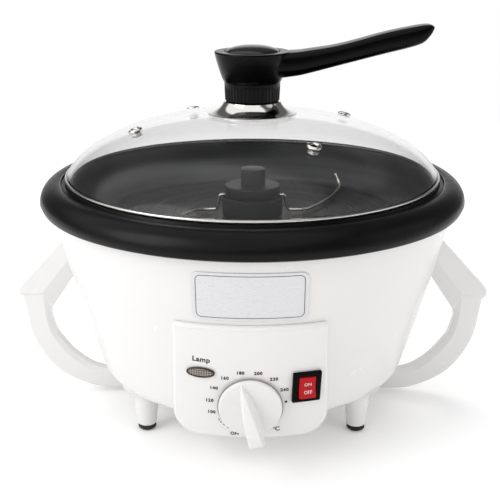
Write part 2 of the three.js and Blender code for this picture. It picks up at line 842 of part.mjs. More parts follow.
function liner() {
  const neckZ = linerFlangeZ + linerSheet;
  const dish = ring([
    [linerHoleRadius, linerFloorZ], [linerFloorRadius, linerFloorZ], [linerWaistRadius, linerWaistZ],
    [linerNeckRadius, linerFlangeZ], [linerFlangeRadius, linerFlangeZ], [linerFlangeRadius, neckZ],
    [linerNeckRadius - linerSheet, neckZ], [linerWaistRadius - linerSheet, linerWaistZ],
    [linerFloorRadius - linerSheet, linerFloorZ + linerSheet], [linerHoleRadius, linerFloorZ + linerSheet],
  ], innerSides);
  const throughHole = (radius, x, y) => rod(radius, linerFloorZ - overrun, linerFloorZ + overrun, screwSides)
    .translate(x, y, 0);
  const screwOpenings = bracketScrewPlaces.map(([x, y]) => throughHole(screwRadius + screwHoleGap, x, y));
  return cut(dish, throughHole(capillaryHole, capillaryX, bulbY), ...screwOpenings);
}

// Ring-shaped heating element, open at the back, with two cold ends
const heaterZ = panUnderZ - clearance - heaterTube;

function heaterAngle(side) {
  return radians(90 + (side * heaterGapAngle) / 2);
}

function terminalPlace(side) {
  return [heaterRadius * Math.cos(heaterAngle(side)), heaterRadius * Math.sin(heaterAngle(side))];
}

function heatingElement() {
  const sweep = 2 * Math.PI - radians(heaterGapAngle);
  const points = [];
  for (let i = 0; i <= heaterSteps; i += 1) {
    const angle = heaterAngle(1) + (sweep * i) / heaterSteps;
    points.push([heaterRadius * Math.cos(angle), heaterRadius * Math.sin(angle), heaterZ]);
  }
  const body = pipe(points, heaterTube, heaterTubeSides, heaterSteps);
  const ends = [-1, 1].map((side) => rod(terminalRadius, heaterZ - terminalLength, heaterZ, heaterTubeSides)
    .translate(...terminalPlace(side), 0));
  const caps = [-1, 1].map((side) => rod(heaterTube, heaterZ - heaterTube, heaterZ + heaterTube, heaterTubeSides)
    .translate(...terminalPlace(side), 0));
  return join(body, ...caps, ...ends);
}

// Strap that holds the element up against the pan
function heaterClamp(angle) {
  const inner = heaterTube + clearance;
  const outer = inner + clampSheet;
  const topZ = panUnderZ - clearance;
  const lowZ = heaterZ - inner;
  const strap = shapeOf([
    [-outer - clampFoot, topZ], [-outer - clampFoot, topZ - clampSheet], [-outer, topZ - clampSheet],
    [-outer, lowZ - clampSheet], [outer, lowZ - clampSheet], [outer, topZ - clampSheet],
    [outer + clampFoot, topZ - clampSheet], [outer + clampFoot, topZ], [inner, topZ], [inner, lowZ],
    [-inner, lowZ], [-inner, topZ],
  ]);
  return around(pushedAlongY(strap, -clampWidth / 2, clampWidth / 2), heaterRadius, angle);
}

function overheatFuse() {
  const lowZ = panUnderZ - clearance - fuseRadius;
  const body = rod(fuseRadius, -fuseLength / 2, fuseLength / 2, smallSides).rotateX(Math.PI / 2);
  return around(body.translate(0, 0, lowZ), fuseOffset, fuseTurn);
}

function sensorBulb() {
  const body = rod(bulbRadius, -bulbLength / 2, bulbLength / 2, smallSides).rotateY(Math.PI / 2);
  return body.translate(0, bulbY, panUnderZ - clearance - bulbRadius);
}

// Gear motor under the heat shield: case, coil, rotor, gears and cover
const pitchRadius = (teeth) => (gearModule * teeth) / 2;
const rotorX = -(pitchRadius(gearTeeth) + pitchRadius(pinionTeeth));
const motorX = -motorOffset;

function gearShape(teeth, turnShare, bore, boreSides) {
  const tip = pitchRadius(teeth) + addendumShare * gearModule;
  const root = pitchRadius(teeth) - dedendumShare * gearModule;
  const pitch = (2 * Math.PI) / teeth;
  const points = [];
  for (let i = 0; i < teeth; i += 1) {
    const middle = (i + turnShare) * pitch;
    const marks = [[root, -toothRootShare], [tip, -toothTipShare], [tip, toothTipShare], [root, toothRootShare]];
    for (const [radius, share] of marks) {
      points.push([radius * Math.cos(middle + share * pitch), radius * Math.sin(middle + share * pitch)]);
    }
  }
  const shape = shapeOf(points);
  const hole = Array.from({ length: boreSides }, (_, i) => {
    const angle = (2 * Math.PI * i) / boreSides;
    return new THREE.Vector2(bore * Math.cos(angle), bore * Math.sin(angle));
  });
  shape.holes.push(new THREE.Path(hole));
  return shape;
}

function motorCase() {
  const floor = motorBaseZ + motorWall;
  const cup = turned([
    [0, motorBaseZ], [motorRadius, motorBaseZ], [motorRadius, motorTopZ], [motorRadius - motorWall, motorTopZ],
    [motorRadius - motorWall, floor], [0, floor],
  ], mediumSides).translate(motorX, 0, 0);
  const pivot = rod(rotorPinRadius + clearance, motorBaseZ - overrun, floor + overrun, screwSides)
    .translate(rotorX, 0, 0);
  return cut(cup, pivot);
}

function statorCoil() {
  const floor = motorBaseZ + motorWall + clearance;
  return tube(coilInner, coilOuter, floor, floor + coilHeight, mediumSides).translate(rotorX, 0, 0);
}

const bracketZ = motorTopZ + clearance;
const bracketScrewPlaces = [-1, 1].map((side) => [side * (bracketSpan + bracketFoot) / 2, 0]);

function rotorAndPin() {
  return turned([
    [0, motorBaseZ + clearance], [rotorPinRadius, motorBaseZ + clearance], [rotorPinRadius, rotorBaseZ],
    [rotorRadius, rotorBaseZ], [rotorRadius, rotorBaseZ + rotorHeight], [rotorPinRadius, rotorBaseZ + rotorHeight],
    [rotorPinRadius, bracketZ + bracketSheet], [0, bracketZ + bracketSheet],
  ], smallSides);
}

// Bracket that closes the motor's case and hangs it under the heat shield
function motorBracket() {
  const highZ = linerFloorZ - clearance;
  const half = bracketSpan / 2;
  const foot = half + bracketFoot;
  const profile = shapeOf([
    [-half, bracketZ], [half, bracketZ], [half, highZ - bracketSheet], [foot, highZ - bracketSheet], [foot, highZ],
    [half - bracketSheet, highZ], [half - bracketSheet, bracketZ + bracketSheet],
    [bracketSheet - half, bracketZ + bracketSheet], [bracketSheet - half, highZ], [-foot, highZ],
    [-foot, highZ - bracketSheet], [-half, highZ - bracketSheet],
  ]);
  const bridge = pushedAlongY(profile, -bracketWidth / 2, bracketWidth / 2);
  const lidDisc = rod(motorRadius, bracketZ, bracketZ + bracketSheet, mediumSides).translate(motorX, 0, 0);
  const shaftHole = rod(shaftRadius + clearance, bracketZ - overrun, bracketZ + overrun, smallSides);
  const pinHole = rod(rotorPinRadius + clearance, bracketZ - overrun, bracketZ + overrun, screwSides)
    .translate(rotorX, 0, 0);
  const footHoles = bracketScrewPlaces.map(([x, y]) => rod(
    screwRadius + screwHoleGap, highZ - overrun, highZ + overrun, screwSides).translate(x, y, 0));
  return cut(join(bridge, lidDisc), shaftHole, pinHole, ...footHoles);
}

function bracketScrew([x, y]) {
  return screw(bracketScrewLength).translate(x, y, linerFloorZ + linerSheet + clearance);
}

// Stirrer hub on the shaft's flat, and its two wire arms
const hubBaseZ = panFloorZ + hubBaseGap;
const hubLowerTopZ = hubBaseZ + hubLowerHeight;
const hubUpperBaseZ = hubLowerTopZ + hubGrooveHeight;
const hubUpperTopZ = hubUpperBaseZ + hubUpperHeight;
const hubTopZ = hubUpperTopZ + hubPostHeight;
const shaftTopZ = hubTopZ - hubRoofWall;
const shaftBaseZ = motorBaseZ + motorWall + clearance;
const hubCavity = collarBore + collarWall + hubCollarGap;
const hubCavityZ = collarTopZ + clearance + hubBaseGap;

// Round bar with one flat, for the shaft, its hole and the stirrer's post
function flattenedBar(radius, flatDepth, lowZ, highZ) {
  const keepHalf = radius + overrun;
  const keep = new THREE.BoxGeometry(2 * keepHalf - flatDepth - overrun, 2 * keepHalf, highZ - lowZ + 2 * overrun);
  keep.translate((flatDepth + overrun) / 2, 0, (lowZ + highZ) / 2);
  return common(rod(radius, lowZ, highZ, smallSides), keep);
}

function driveShaft() {
  const keyZ = hubCavityZ - clearance;
  return join(
    rod(shaftRadius, shaftBaseZ, keyZ, smallSides),
    flattenedBar(shaftRadius, shaftFlat, keyZ - clearance, shaftTopZ),
  );
}

function wirePoints() {
  const floorZ = panFloorZ + wireFloorGap + wireRadius;
  const rise = (hubLowerTopZ + hubUpperBaseZ) / 2 - floorZ;
  const start = hubGrooveRadius - wireSocketDepth + clearance;
  return [
    [start, 0, floorZ + rise], [(start + hubLowerRadius) / 2, 0, floorZ + rise],
    ...wireDropShares.map(([out, up]) => [hubLowerRadius + out * wireDrop, 0, floorZ + up * rise]),
    ...wireRunShares.map(([out, along]) => [out * wireReach, along * wireSweep, floorZ]),
  ];
}

function stirrerWire(turn) {
  return pipe(wirePoints(), wireRadius, wireSides, wireSteps).rotateZ(radians(turn));
}

function stirrerHub() {
  const body = turned([
    [0, hubTopZ], [hubPostRadius - hubChamfer, hubTopZ], [hubPostRadius, hubTopZ - hubChamfer],
    [hubPostRadius, hubUpperTopZ], [hubUpperRadius - hubChamfer, hubUpperTopZ],
    [hubUpperRadius, hubUpperTopZ - hubChamfer], [hubUpperRadius, hubUpperBaseZ],
    [hubGrooveRadius, hubUpperBaseZ], [hubGrooveRadius, hubLowerTopZ],
    [hubLowerRadius - hubChamfer, hubLowerTopZ], [hubLowerRadius, hubLowerTopZ - hubChamfer],
    [hubLowerRadius, hubBaseZ], [hubCavity, hubBaseZ], [hubCavity, hubCavityZ], [0, hubCavityZ],
  ], hubSides);
  const keyHole = flattenedBar(
    shaftRadius + clearance, shaftFlat, hubCavityZ - overrun, shaftTopZ + clearance);
  const flatWidth = 2 * hubPostRadius;
  const flat = block(flatWidth, flatWidth, hubUpperTopZ, hubTopZ + overrun)
    .translate(-2 * hubPostRadius + hubPostFlat, 0, 0);
  const socketZ = (hubLowerTopZ + hubUpperBaseZ) / 2;
  const sockets = [0, 180].map((turn) => rod(
    wireRadius + clearance, hubGrooveRadius - wireSocketDepth, hubLowerRadius + overrun, wireSides)
    .rotateY(Math.PI / 2).translate(0, 0, socketZ).rotateZ(radians(turn)));
  return cut(body, keyHole, flat, ...sockets);
}

// Fascia: a leaning, curved cover with square-cut holes for the controls
function fasciaOutline(inset) {
  const lowZ = fasciaBottomZ + inset;
  const highZ = fasciaTopZ - inset;
  const corner = fasciaCorner - inset;
  const bottom = fasciaBottomHalfWidth - inset;
  const top = fasciaTopHalfWidth - inset;
  const points = [];
  roundedCorner(points, top - fasciaTopCorner, highZ - fasciaTopCorner, fasciaTopCorner, 0, 2);
  roundedCorner(points, fasciaTopCorner - top, highZ - fasciaTopCorner, fasciaTopCorner, 90, 2);
  roundedCorner(points, corner - bottom, lowZ + corner, corner, 180, fasciaCornerSteps);
  roundedCorner(points, bottom - corner, lowZ + corner, corner, 270, fasciaCornerSteps);
  return shapeOf(points);
}

function fasciaBand(inset) {
  const lowZ = fasciaBottomZ - overrun;
  const highZ = fasciaTopZ + overrun;
  return ring([
    [fasciaCoreRadius, lowZ], [fasciaRadius(lowZ) - inset, lowZ], [fasciaRadius(highZ) - inset, highZ],
    [fasciaCoreRadius, highZ],
  ], fasciaSides);
}

function fasciaSlab(inset) {
  return pushedAlongY(fasciaOutline(inset), -fasciaTopRadius - 2 * overrun, -fasciaCoreRadius / 2);
}

function fasciaScrewPlace(x) {
  const seat = bowlRadius(fasciaScrewZ) - screwSeat;
  const turn = Math.asin(x / seat);
  return new THREE.Matrix4().makeRotationZ(turn)
    .multiply(new THREE.Matrix4().makeTranslation(0, -seat, fasciaScrewZ))
    .multiply(new THREE.Matrix4().makeRotationX(-Math.PI / 2));
}

function ovalShape(halfWidth, halfHeight) {
  const shape = new THREE.Shape();
  shape.absellipse(0, 0, halfWidth, halfHeight, 0, Math.PI * 2);
  return shape;
}

function fascia() {
  const hollow = common(fasciaBand(fasciaWall), fasciaSlab(fasciaWall));
  const bosses = [-fasciaScrewX, fasciaScrewX].map((x) => rod(
    fasciaBossRadius, -fasciaScrewLength - overrun, overrun, screwSides).applyMatrix4(fasciaScrewPlace(x)));
  const skin = cut(common(fasciaBand(0), fasciaSlab(0)), hollow);
  const bossed = common(join(skin, ...bosses), fasciaBand(0), fasciaSlab(0));
  const knobHole = rod(spindleRadius + 2 * spindleGap, -2 * overrun, overrun, smallSides)
    .applyMatrix4(onFascia(0, knobZ));
  const switchHole = block(switchBodyWidth + 2 * clearance, switchBodyHeight + 2 * clearance, -2 * overrun, overrun)
    .applyMatrix4(onFascia(switchX, switchZ));
  const lampHole = raised(
    ovalShape(lampHalfWidth - lampLip + clearance, lampHalfHeight - lampLip + clearance), -2 * overrun, overrun)
    .applyMatrix4(onFascia(lampX, lampZ));
  const screwHoles = [-fasciaScrewX, fasciaScrewX].map((x) => rod(
    screwRadius + clearance, -fasciaScrewLength - clearance, overrun, screwSides)
    .applyMatrix4(fasciaScrewPlace(x)));
  return cut(bossed, bowlForm(clearance), knobHole, switchHole, lampHole, ...screwHoles);
}

// Plate on the bowl above the fascia
function frontPlate() {
  const outline = roundedBox(plateHalfWidth, plateBottomZ, plateTopZ, plateCorner, plateCornerSteps);
  const slab = pushedAlongY(outline, -bowlTopRadius - overrun, -bowlFlatRadius);
  const skin = [];
  const back = [];
  for (let i = 0; i <= wallSteps; i += 1) {
    const z = plateBottomZ - overrun + ((plateTopZ - plateBottomZ + 2 * overrun) * i) / wallSteps;
    skin.push([bowlRadius(z) + clearance + plateThickness, z]);
    back.push([bowlRadius(z) + clearance, z]);
  }
  return common(ring([...skin, ...back.reverse()], fasciaSides), slab);
}

// Temperature knob: thin disc with a tall tapering grip, on the thermostat's spindle
function knob() {
  const discTop = knobLift + knobDiscHeight;
  const disc = turned([
    [0, knobLift], [knobRadius, knobLift], [knobRadius, discTop - knobEdge], [knobRadius - knobEdge, discTop],
    [knobHub, discTop + knobCapDrop], [0, discTop + knobCapDrop],
  ], mediumSides);
  const plan = [
    ...gripTopShares.map(([along, half]) => [half * knobRadius, -along * knobRadius]),
    ...gripTopShares.map(([along, half]) => [-half * knobRadius, -along * knobRadius]).reverse(),
  ];
  const side = gripRiseShares.map(([along, up]) => [along * knobRadius, discTop + up * gripHeight]);
  side.push([knobRadius - knobEdge, knobLift + knobEdge], [gripRiseShares[0][0] * knobRadius, knobLift + knobEdge]);
  const sideSlab = pushedAlongY(shapeOf(side), -knobRadius, knobRadius).rotateZ(-Math.PI / 2);
  const fin = common(raised(shapeOf(plan), knobLift + knobEdge, discTop + gripHeight + overrun), sideSlab);
  const bore = rod(spindleRadius + spindleGap, -overrun, spindleInKnob + clearance, smallSides);
  return cut(join(disc, fin), bore);
}

function spindle() {
  return rod(spindleRadius, -thermostatSetback - spindleInBody, spindleInKnob, smallSides);
}

function thermostat() {
  const front = -thermostatSetback;
  const box = block(thermostatWidth, thermostatHeight, front - thermostatDepth, front);
  const neck = rod(thermostatNeckRadius, front - overrun, -fasciaWall - runningGap, smallSides);
  const bore = rod(spindleRadius + spindleGap, front - spindleInBody - clearance, overrun, smallSides);
  return cut(join(box, neck), bore);
}

// Rocker switch: black housing with a pocket, red rocker on two pins
function switchHousing() {
  const bezel = block(bezelWidth, bezelHeight, bezelLift, bezelLift + bezelThickness);
  const body = block(switchBodyWidth, switchBodyHeight, -switchBodyDepth, bezelLift + bezelThickness);
  const pocket = block(
    pocketWidth, pocketHeight, bezelLift + bezelThickness - pocketDepth, bezelLift + bezelThickness + overrun);
  const pinHole = rod(
    rockerPinRadius + rockerPinGap, -rockerWidth / 2 - rockerPinLength - clearance,
    rockerWidth / 2 + rockerPinLength + clearance, screwSides)
    .rotateY(Math.PI / 2).translate(0, 0, bezelLift + bezelThickness - rockerPivotDepth);
  return cut(join(bezel, body), pocket, pinHole);
}

function rocker() {
  const profile = shapeOf([
    [-rockerHalfHeight, -rockerUnderside], [rockerHalfHeight, -rockerUnderside],
    [rockerHalfHeight, rockerEdgeHeight], [0, rockerValleyHeight], [-rockerHalfHeight, rockerEdgeHeight],
  ]);
  const body = raised(profile, -rockerWidth / 2, rockerWidth / 2).rotateY(Math.PI / 2).rotateX(Math.PI / 2);
  const pins = rod(rockerPinRadius, -rockerWidth / 2 - rockerPinLength, rockerWidth / 2 + rockerPinLength, screwSides)
    .rotateY(Math.PI / 2);
  return join(body, pins).rotateX(radians(-rockerTilt));
}

// Indicator lamp: oval lens in the fascia and a small glow lamp behind it
function lampLens() {
  const lens = raised(ovalShape(lampHalfWidth, lampHalfHeight), clearance + lampLip / 2, lampLift + lampLip);
  const tail = raised(
    ovalShape(lampHalfWidth - lampLip, lampHalfHeight - lampLip), -fasciaWall - clearance, lampLift);
  return join(lens, tail);
}

function glowLamp() {
  const high = -fasciaWall - 2 * clearance;
  return rod(neonRadius, high - neonLength, high, smallSides);
}

// Inlet gland, square to the bowl's leaning wall
function glandPlace() {
  return new THREE.Matrix4().makeTranslation(0, bowlRadius(glandZ), glandZ)
    .multiply(new THREE.Matrix4().makeRotationX(-Math.PI / 2 - wallLean));
}

function gland() {
  return ring([
    [glandBore, -glandLength], [glandRadius, -glandLength], [glandRadius, clearance], [glandFlangeRadius, clearance],
    [glandFlangeRadius - glandFlange / 2, clearance + glandFlange], [glandBore, clearance + glandFlange],
  ], smallSides);
}

// Glass lid with its steel ring, eyelets and fixing
const lidRingZ = panTopZ + lidGap;
const glassEdgeRadius = lidRingRadius - lidRingSheet - clearance;
const glassEdgeZ = lidRingZ + lidRingSheet + clearance;

function domeZ(radius, inset) {
  const wide = domeHalfWidth - inset;
  return domeCentreZ + (domeHalfHeight - inset) * Math.sqrt(1 - (radius / wide) ** 2);
}

function domePoints(inset, edgeRadius) {
  const points = [];
  const start = Math.asin(edgeRadius / (domeHalfWidth - inset));
  for (let i = 0; i <= domeSteps; i += 1) {
    const angle = start * (1 - i / domeSteps);
    const radius = Math.max((domeHalfWidth - inset) * Math.sin(angle), lidBore);
    points.push([radius, domeZ(radius, inset)]);
  }
  return points;
}

function ventPlaces() {
  const fall = domeHalfHeight * ventCircle;
  const slope = Math.atan2(fall, domeHalfWidth * Math.sqrt(domeHalfWidth ** 2 - ventCircle ** 2));
  return ventAngles.map((angle) => new THREE.Matrix4().makeRotationZ(radians(angle))
    .multiply(new THREE.Matrix4().makeTranslation(ventCircle, 0, domeZ(ventCircle, 0)))
    .multiply(new THREE.Matrix4().makeRotationY(slope)));
}

function lidGlass() {
  const insideEdge = (domeHalfWidth - glass) * Math.sqrt(
    1 - ((glassEdgeZ - domeCentreZ) / (domeHalfHeight - glass)) ** 2);
  const dome = ring([
    [insideEdge, glassEdgeZ], [glassEdgeRadius, glassEdgeZ], ...domePoints(0, glassEdgeRadius),
    ...domePoints(glass, insideEdge).slice(1).reverse(),
  ], largeSides);
  const holes = ventPlaces().map((place) => rod(ventHole, -2 * overrun, overrun, smallSides).applyMatrix4(place));
  return cut(dome, ...holes);
}

function lidRing() {
  const topZ = lidRingZ + lidRingHeight;
  return ring([
    [lidRingRadius - lidRingFlange, lidRingZ], [lidRingRadius, lidRingZ], [lidRingRadius, topZ],
    [lidRingRadius - lidRingSheet, topZ], [lidRingRadius - lidRingSheet, lidRingZ + lidRingSheet],
    [lidRingRadius - lidRingFlange, lidRingZ + lidRingSheet],
  ], largeSides);
}

function ventEyelet() {
  const under = -glass - eyeletUnderGap;
  return ring([
    [eyeletBore, under - eyeletFlangeHeight], [eyeletLip, under - eyeletFlangeHeight], [eyeletLip, under],
    [eyeletTube, under], [eyeletTube, clearance],
    [eyeletFlange, clearance], [eyeletFlange - eyeletFlangeHeight / 2, clearance + eyeletFlangeHeight],
    [eyeletBore, clearance + eyeletFlangeHeight],
  ], screwSides);
}

const skirtBaseZ = domeZ(skirtRadius, 0) + clearance;
const gasketBaseZ = domeZ(lidBore, 0) + clearance;
const screwBore = lidScrewRadius + clearance;

function lidSkirt() {
  const rise = skirtTopZ - skirtBaseZ;
  const reach = skirtRadius - skirtTopRadius;
  const outside = skirtShares.map(([out, up]) => [skirtTopRadius + out * reach, skirtBaseZ + up * rise]);
  const inside = skirtShares.slice(1).reverse().map(([out, up]) => [
    skirtTopRadius + out * reach - skirtSheet, skirtBaseZ + up * rise - skirtSheet]);
  return ring([
    [skirtRadius - skirtSheet, skirtBaseZ], [skirtRadius, skirtBaseZ], ...outside, [screwBore, skirtTopZ],
    [screwBore, skirtTopZ - skirtSheet], ...inside,
  ], mediumSides);
}

function lidGasket() {
  return tube(screwBore, gasketRadius, gasketBaseZ, gasketBaseZ + gasketThickness, smallSides);
}

const neckBaseZ = skirtTopZ + clearance;

function lidScrew() {
  const seatZ = domeZ(lidScrewHead, glass) - clearance;
  const headZ = seatZ - lidScrewHeadHeight;
  const topZ = neckBaseZ + lidScrewDepth;
  return turned([
    [0, headZ], [lidScrewHead * lidScrewFaceShare, headZ],
    [lidScrewHead, headZ + lidScrewHeadHeight * lidScrewEdgeShare], [lidScrewHead, seatZ],
    [lidScrewRadius, seatZ], [lidScrewRadius, topZ], [0, topZ],
  ], smallSides);
}

// Black grip: neck, flared cup and the long arm, in one moulding
function lidHandle() {
  const cupRise = cupTopZ - neckTopZ;
  const cupReach = cupRadius - neckTopRadius;
  const cup = turned([
    [0, neckBaseZ], [neckRadius, neckBaseZ],
    ...cupShares.map(([out, up]) => [neckTopRadius + out * cupReach, neckTopZ + up * cupRise]),
    [cupRadius - cupLip, cupTopZ], [capRecessRadius, cupTopZ], [capRecessRadius, cupTopZ - capRecessDepth],
    [0, cupTopZ - capRecessDepth],
  ], mediumSides);
  const armRise = armTipZ - neckTopZ;
  const sideShape = shapeOf([...armTopShares, ...armUnderShares]
    .map(([x, z]) => [x * armReach, neckTopZ + z * armRise]));
  const plan = armPlanShares.map(([x, half]) => [x * armReach, half * armRootHalfWidth]);
  const planShape = shapeOf([...plan, ...plan.map(([x, y]) => [x, -y]).reverse()]);
  const arm = common(
    pushedAlongY(sideShape, -armRootHalfWidth, armRootHalfWidth),
    raised(planShape, neckBaseZ, armTipZ + overrun));
  const recess = rod(capRecessRadius, cupTopZ - capRecessDepth, armTipZ + overrun, mediumSides);
  const bore = rod(screwBore, neckBaseZ - overrun, neckBaseZ + lidScrewDepth + clearance, smallSides);
  return cut(join(cup, arm), recess, bore);
}

function handleCap() {
  const baseZ = cupTopZ - capRecessDepth + clearance;
  const radius = capRecessRadius - clearance;
  const edgeZ = cupTopZ - cupLip;
  const dome = [];
  for (let i = 1; i <= capSteps; i += 1) {
    const share = i / capSteps;
    dome.push([radius * Math.cos(share * Math.PI / 2), edgeZ + capRise * Math.sin(share * Math.PI / 2)]);
  }
  dome[capSteps - 1][0] = 0;
  return turned([[0, baseZ], [radius, baseZ], [radius, edgeZ], ...dome], mediumSides);
}

// Assembly
const roaster = new THREE.Group();

const housing = new THREE.Group();
housing.add(piece('outer_shell', outerShell(), white));
housing.add(piece('rim', rim(), black));
housing.add(piece('left_handle', sideHandle().rotateZ(Math.PI), white));
housing.add(piece('right_handle', sideHandle(), white));
handleScrewPlaces().forEach((place, i) => {
  housing.add(piece(`handle_screw_${i + 1}`, screw(handleScrewLength).applyMatrix4(place), steel));
});
housing.add(piece('base_cover', baseCover(), white));
coverScrewAngles.forEach((angle, i) => {
  housing.add(piece(`cover_screw_${i + 1}`, coverScrew(angle), steel));
});
legAngles.forEach((angle, i) => {
  const pad = piece(`foot_pad_${i + 1}`, footPad(), rubber);
  pad.position.set(legCircle * Math.cos(radians(angle)), legCircle * Math.sin(radians(angle)), 0);
  housing.add(pad);
});
housing.add(piece('front_plate', frontPlate(), silverFilm));
roaster.add(housing);

const heat = new THREE.Group();
heat.add(piece('roasting_pan', pan(), nonStick));
heat.add(piece('heat_shield', liner(), zinc));
heat.add(piece('heating_element', heatingElement(), steel));
clampAngles.forEach((angle, i) => heat.add(piece(`heater_clamp_${i + 1}`, heaterClamp(angle), zinc)));
heat.add(piece('overheat_fuse', overheatFuse(), nylon));
heat.add(piece('sensor_bulb', sensorBulb(), copper));
heat.add(piece('shaft_bush', bush(), brass));
roaster.add(heat);

const motor = new THREE.Group();
motor.add(piece('motor_case', motorCase(), zinc));
motor.add(piece('stator_coil', statorCoil(), copper));
motor.add(piece('motor_bracket', motorBracket(), zinc));
bracketScrewPlaces.forEach((place, i) => motor.add(piece(`bracket_screw_${i + 1}`, bracketScrew(place), steel)));
roaster.add(motor);

const rotorGroup = new THREE.Group();
rotorGroup.position.x = rotorX;
rotorGroup.add(piece('motor_rotor', rotorAndPin(), steel));
rotorGroup.add(piece('rotor_pinion', raised(
  gearShape(pinionTeeth, 0, rotorPinRadius + clearance, screwSides),
  gearBaseZ - pinionOverlap, gearBaseZ + gearThickness + pinionOverlap), nylon));
roaster.add(rotorGroup);

const drive = new THREE.Group();
drive.add(piece('drive_shaft', driveShaft(), steel));
drive.add(piece('drive_gear', raised(
  gearShape(gearTeeth, 0.5, shaftRadius + clearance, smallSides), gearBaseZ, gearBaseZ + gearThickness), nylon));
roaster.add(drive);

const stirrer = new THREE.Group();
stirrer.add(piece('stirrer_hub', stirrerHub(), hubGrey));
stirrer.add(piece('stirrer_wire_right', stirrerWire(0), steel));
stirrer.add(piece('stirrer_wire_left', stirrerWire(180), steel));
roaster.add(stirrer);

const controls = new THREE.Group();
controls.add(piece('fascia', fascia(), white));
[-fasciaScrewX, fasciaScrewX].forEach((x, i) => {
  controls.add(piece(`fascia_screw_${i + 1}`, screw(fasciaScrewLength).applyMatrix4(fasciaScrewPlace(x)), steel));
});
const knobFrame = frameGroup(onFascia(0, knobZ));
const knobMesh = piece('temperature_knob', knob(), white);
knobMesh.rotation.z = radians(knobTurn);
knobFrame.add(knobMesh);
knobFrame.add(piece('thermostat_spindle', spindle(), steel));
knobFrame.add(piece('thermostat', thermostat(), zinc));
controls.add(knobFrame);
controls.add(piece('capillary_tube', pipe(
  capillaryPoints(), capillaryRadius, capillarySides, capillarySteps), copper));
const switchFrame = frameGroup(onFascia(switchX, switchZ));
switchFrame.add(piece('switch_housing', switchHousing(), black));
const rockerMesh = piece('switch_rocker', rocker(), red);
rockerMesh.position.z = bezelLift + bezelThickness - rockerPivotDepth;
switchFrame.add(rockerMesh);
controls.add(switchFrame);
const lampFrame = frameGroup(onFascia(lampX, lampZ));
lampFrame.add(piece('lamp_lens', lampLens(), smoke));
lampFrame.add(piece('glow_lamp', glowLamp(), nylon));
controls.add(lampFrame);
roaster.add(controls);

const glandFrame = frameGroup(glandPlace());
glandFrame.add(piece('inlet_gland', gland(), black));
roaster.add(glandFrame);

const lid = new THREE.Group();
lid.add(piece('lid_glass', lidGlass(), glassClear));
lid.add(piece('lid_ring', lidRing(), steel));
ventPlaces().forEach((place, i) => {
  lid.add(piece(`vent_eyelet_${i + 1}`, ventEyelet().applyMatrix4(place), steel));
});
lid.add(piece('lid_skirt', lidSkirt(), chrome));
lid.add(piece('lid_gasket', lidGasket(), rubber));
lid.add(piece('lid_screw', lidScrew(), steel));
lid.add(piece('lid_handle', lidHandle(), black));
lid.add(piece('handle_cap', handleCap(), black));
roaster.add(lid);

export default roaster;
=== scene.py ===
# Home coffee bean roaster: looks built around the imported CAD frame.
# Shapes are written in millimetres and turned to metres as each mesh is made.
from math import asin, atan2, ceil, copysign, cos, hypot, pi, radians, sin, sqrt, tan

import bmesh
import bpy
from mathutils import Matrix, Vector


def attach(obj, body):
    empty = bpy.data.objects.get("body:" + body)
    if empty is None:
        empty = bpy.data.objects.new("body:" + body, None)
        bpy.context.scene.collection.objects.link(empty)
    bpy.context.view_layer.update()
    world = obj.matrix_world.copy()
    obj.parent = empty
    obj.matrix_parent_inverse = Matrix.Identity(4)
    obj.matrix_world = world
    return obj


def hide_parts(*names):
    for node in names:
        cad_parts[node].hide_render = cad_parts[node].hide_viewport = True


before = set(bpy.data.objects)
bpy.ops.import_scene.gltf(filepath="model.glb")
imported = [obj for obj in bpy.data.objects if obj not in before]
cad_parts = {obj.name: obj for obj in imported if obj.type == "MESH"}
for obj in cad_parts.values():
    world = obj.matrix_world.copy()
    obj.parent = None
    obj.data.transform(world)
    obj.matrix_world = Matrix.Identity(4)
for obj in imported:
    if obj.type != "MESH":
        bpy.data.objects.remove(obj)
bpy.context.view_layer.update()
scene = bpy.context.scene
MM = 0.001
QUARTER = pi / 2


def linked(name, data):
    """A new object in the scene."""
    item = bpy.data.objects.new(name, data)
    scene.collection.objects.link(item)
    return item


# ---- camera and light

def look_from(spot, pitch, yaw):
    data = bpy.data.cameras.new("camera")
    data.lens = 72.0
    data.sensor_width = 36.0
    camera = linked("camera", data)
    camera.location = Vector(spot) * MM
    camera.rotation_euler = (radians(90 - pitch), 0, radians(yaw))
    scene.camera = camera


look_from((6.0, -675.5, 325.7), 17.8, 0.641)


def area_light(name, spot, aim, size, watts, colour=(1, 1, 1), mirrored=True):
    data = bpy.data.lights.new(name, "AREA")
    data.shape = "ELLIPSE"
    data.size, data.size_y = size
    data.energy = watts
    data.color = colour
    light = linked(name, data)
    light.location = spot
    light.rotation_euler = (Vector(aim) - Vector(spot)).to_track_quat("-Z", "Y").to_euler()
    light.visible_glossy = mirrored
    light.visible_transmission = False


area_light("key_left", (-1.05, -0.7, 0.85), (0, 0, 0.12), (1.0, 1.2), 9.5)
area_light("fill_right", (1.2, -0.7, 0.5), (0, 0, 0.12), (0.8, 0.9), 3.2, (1, 0.96, 0.93), mirrored=False)
area_light("top_back", (0.1, 0.75, 1.1), (0, 0, 0.16), (1.1, 0.6), 5.0, mirrored=False)


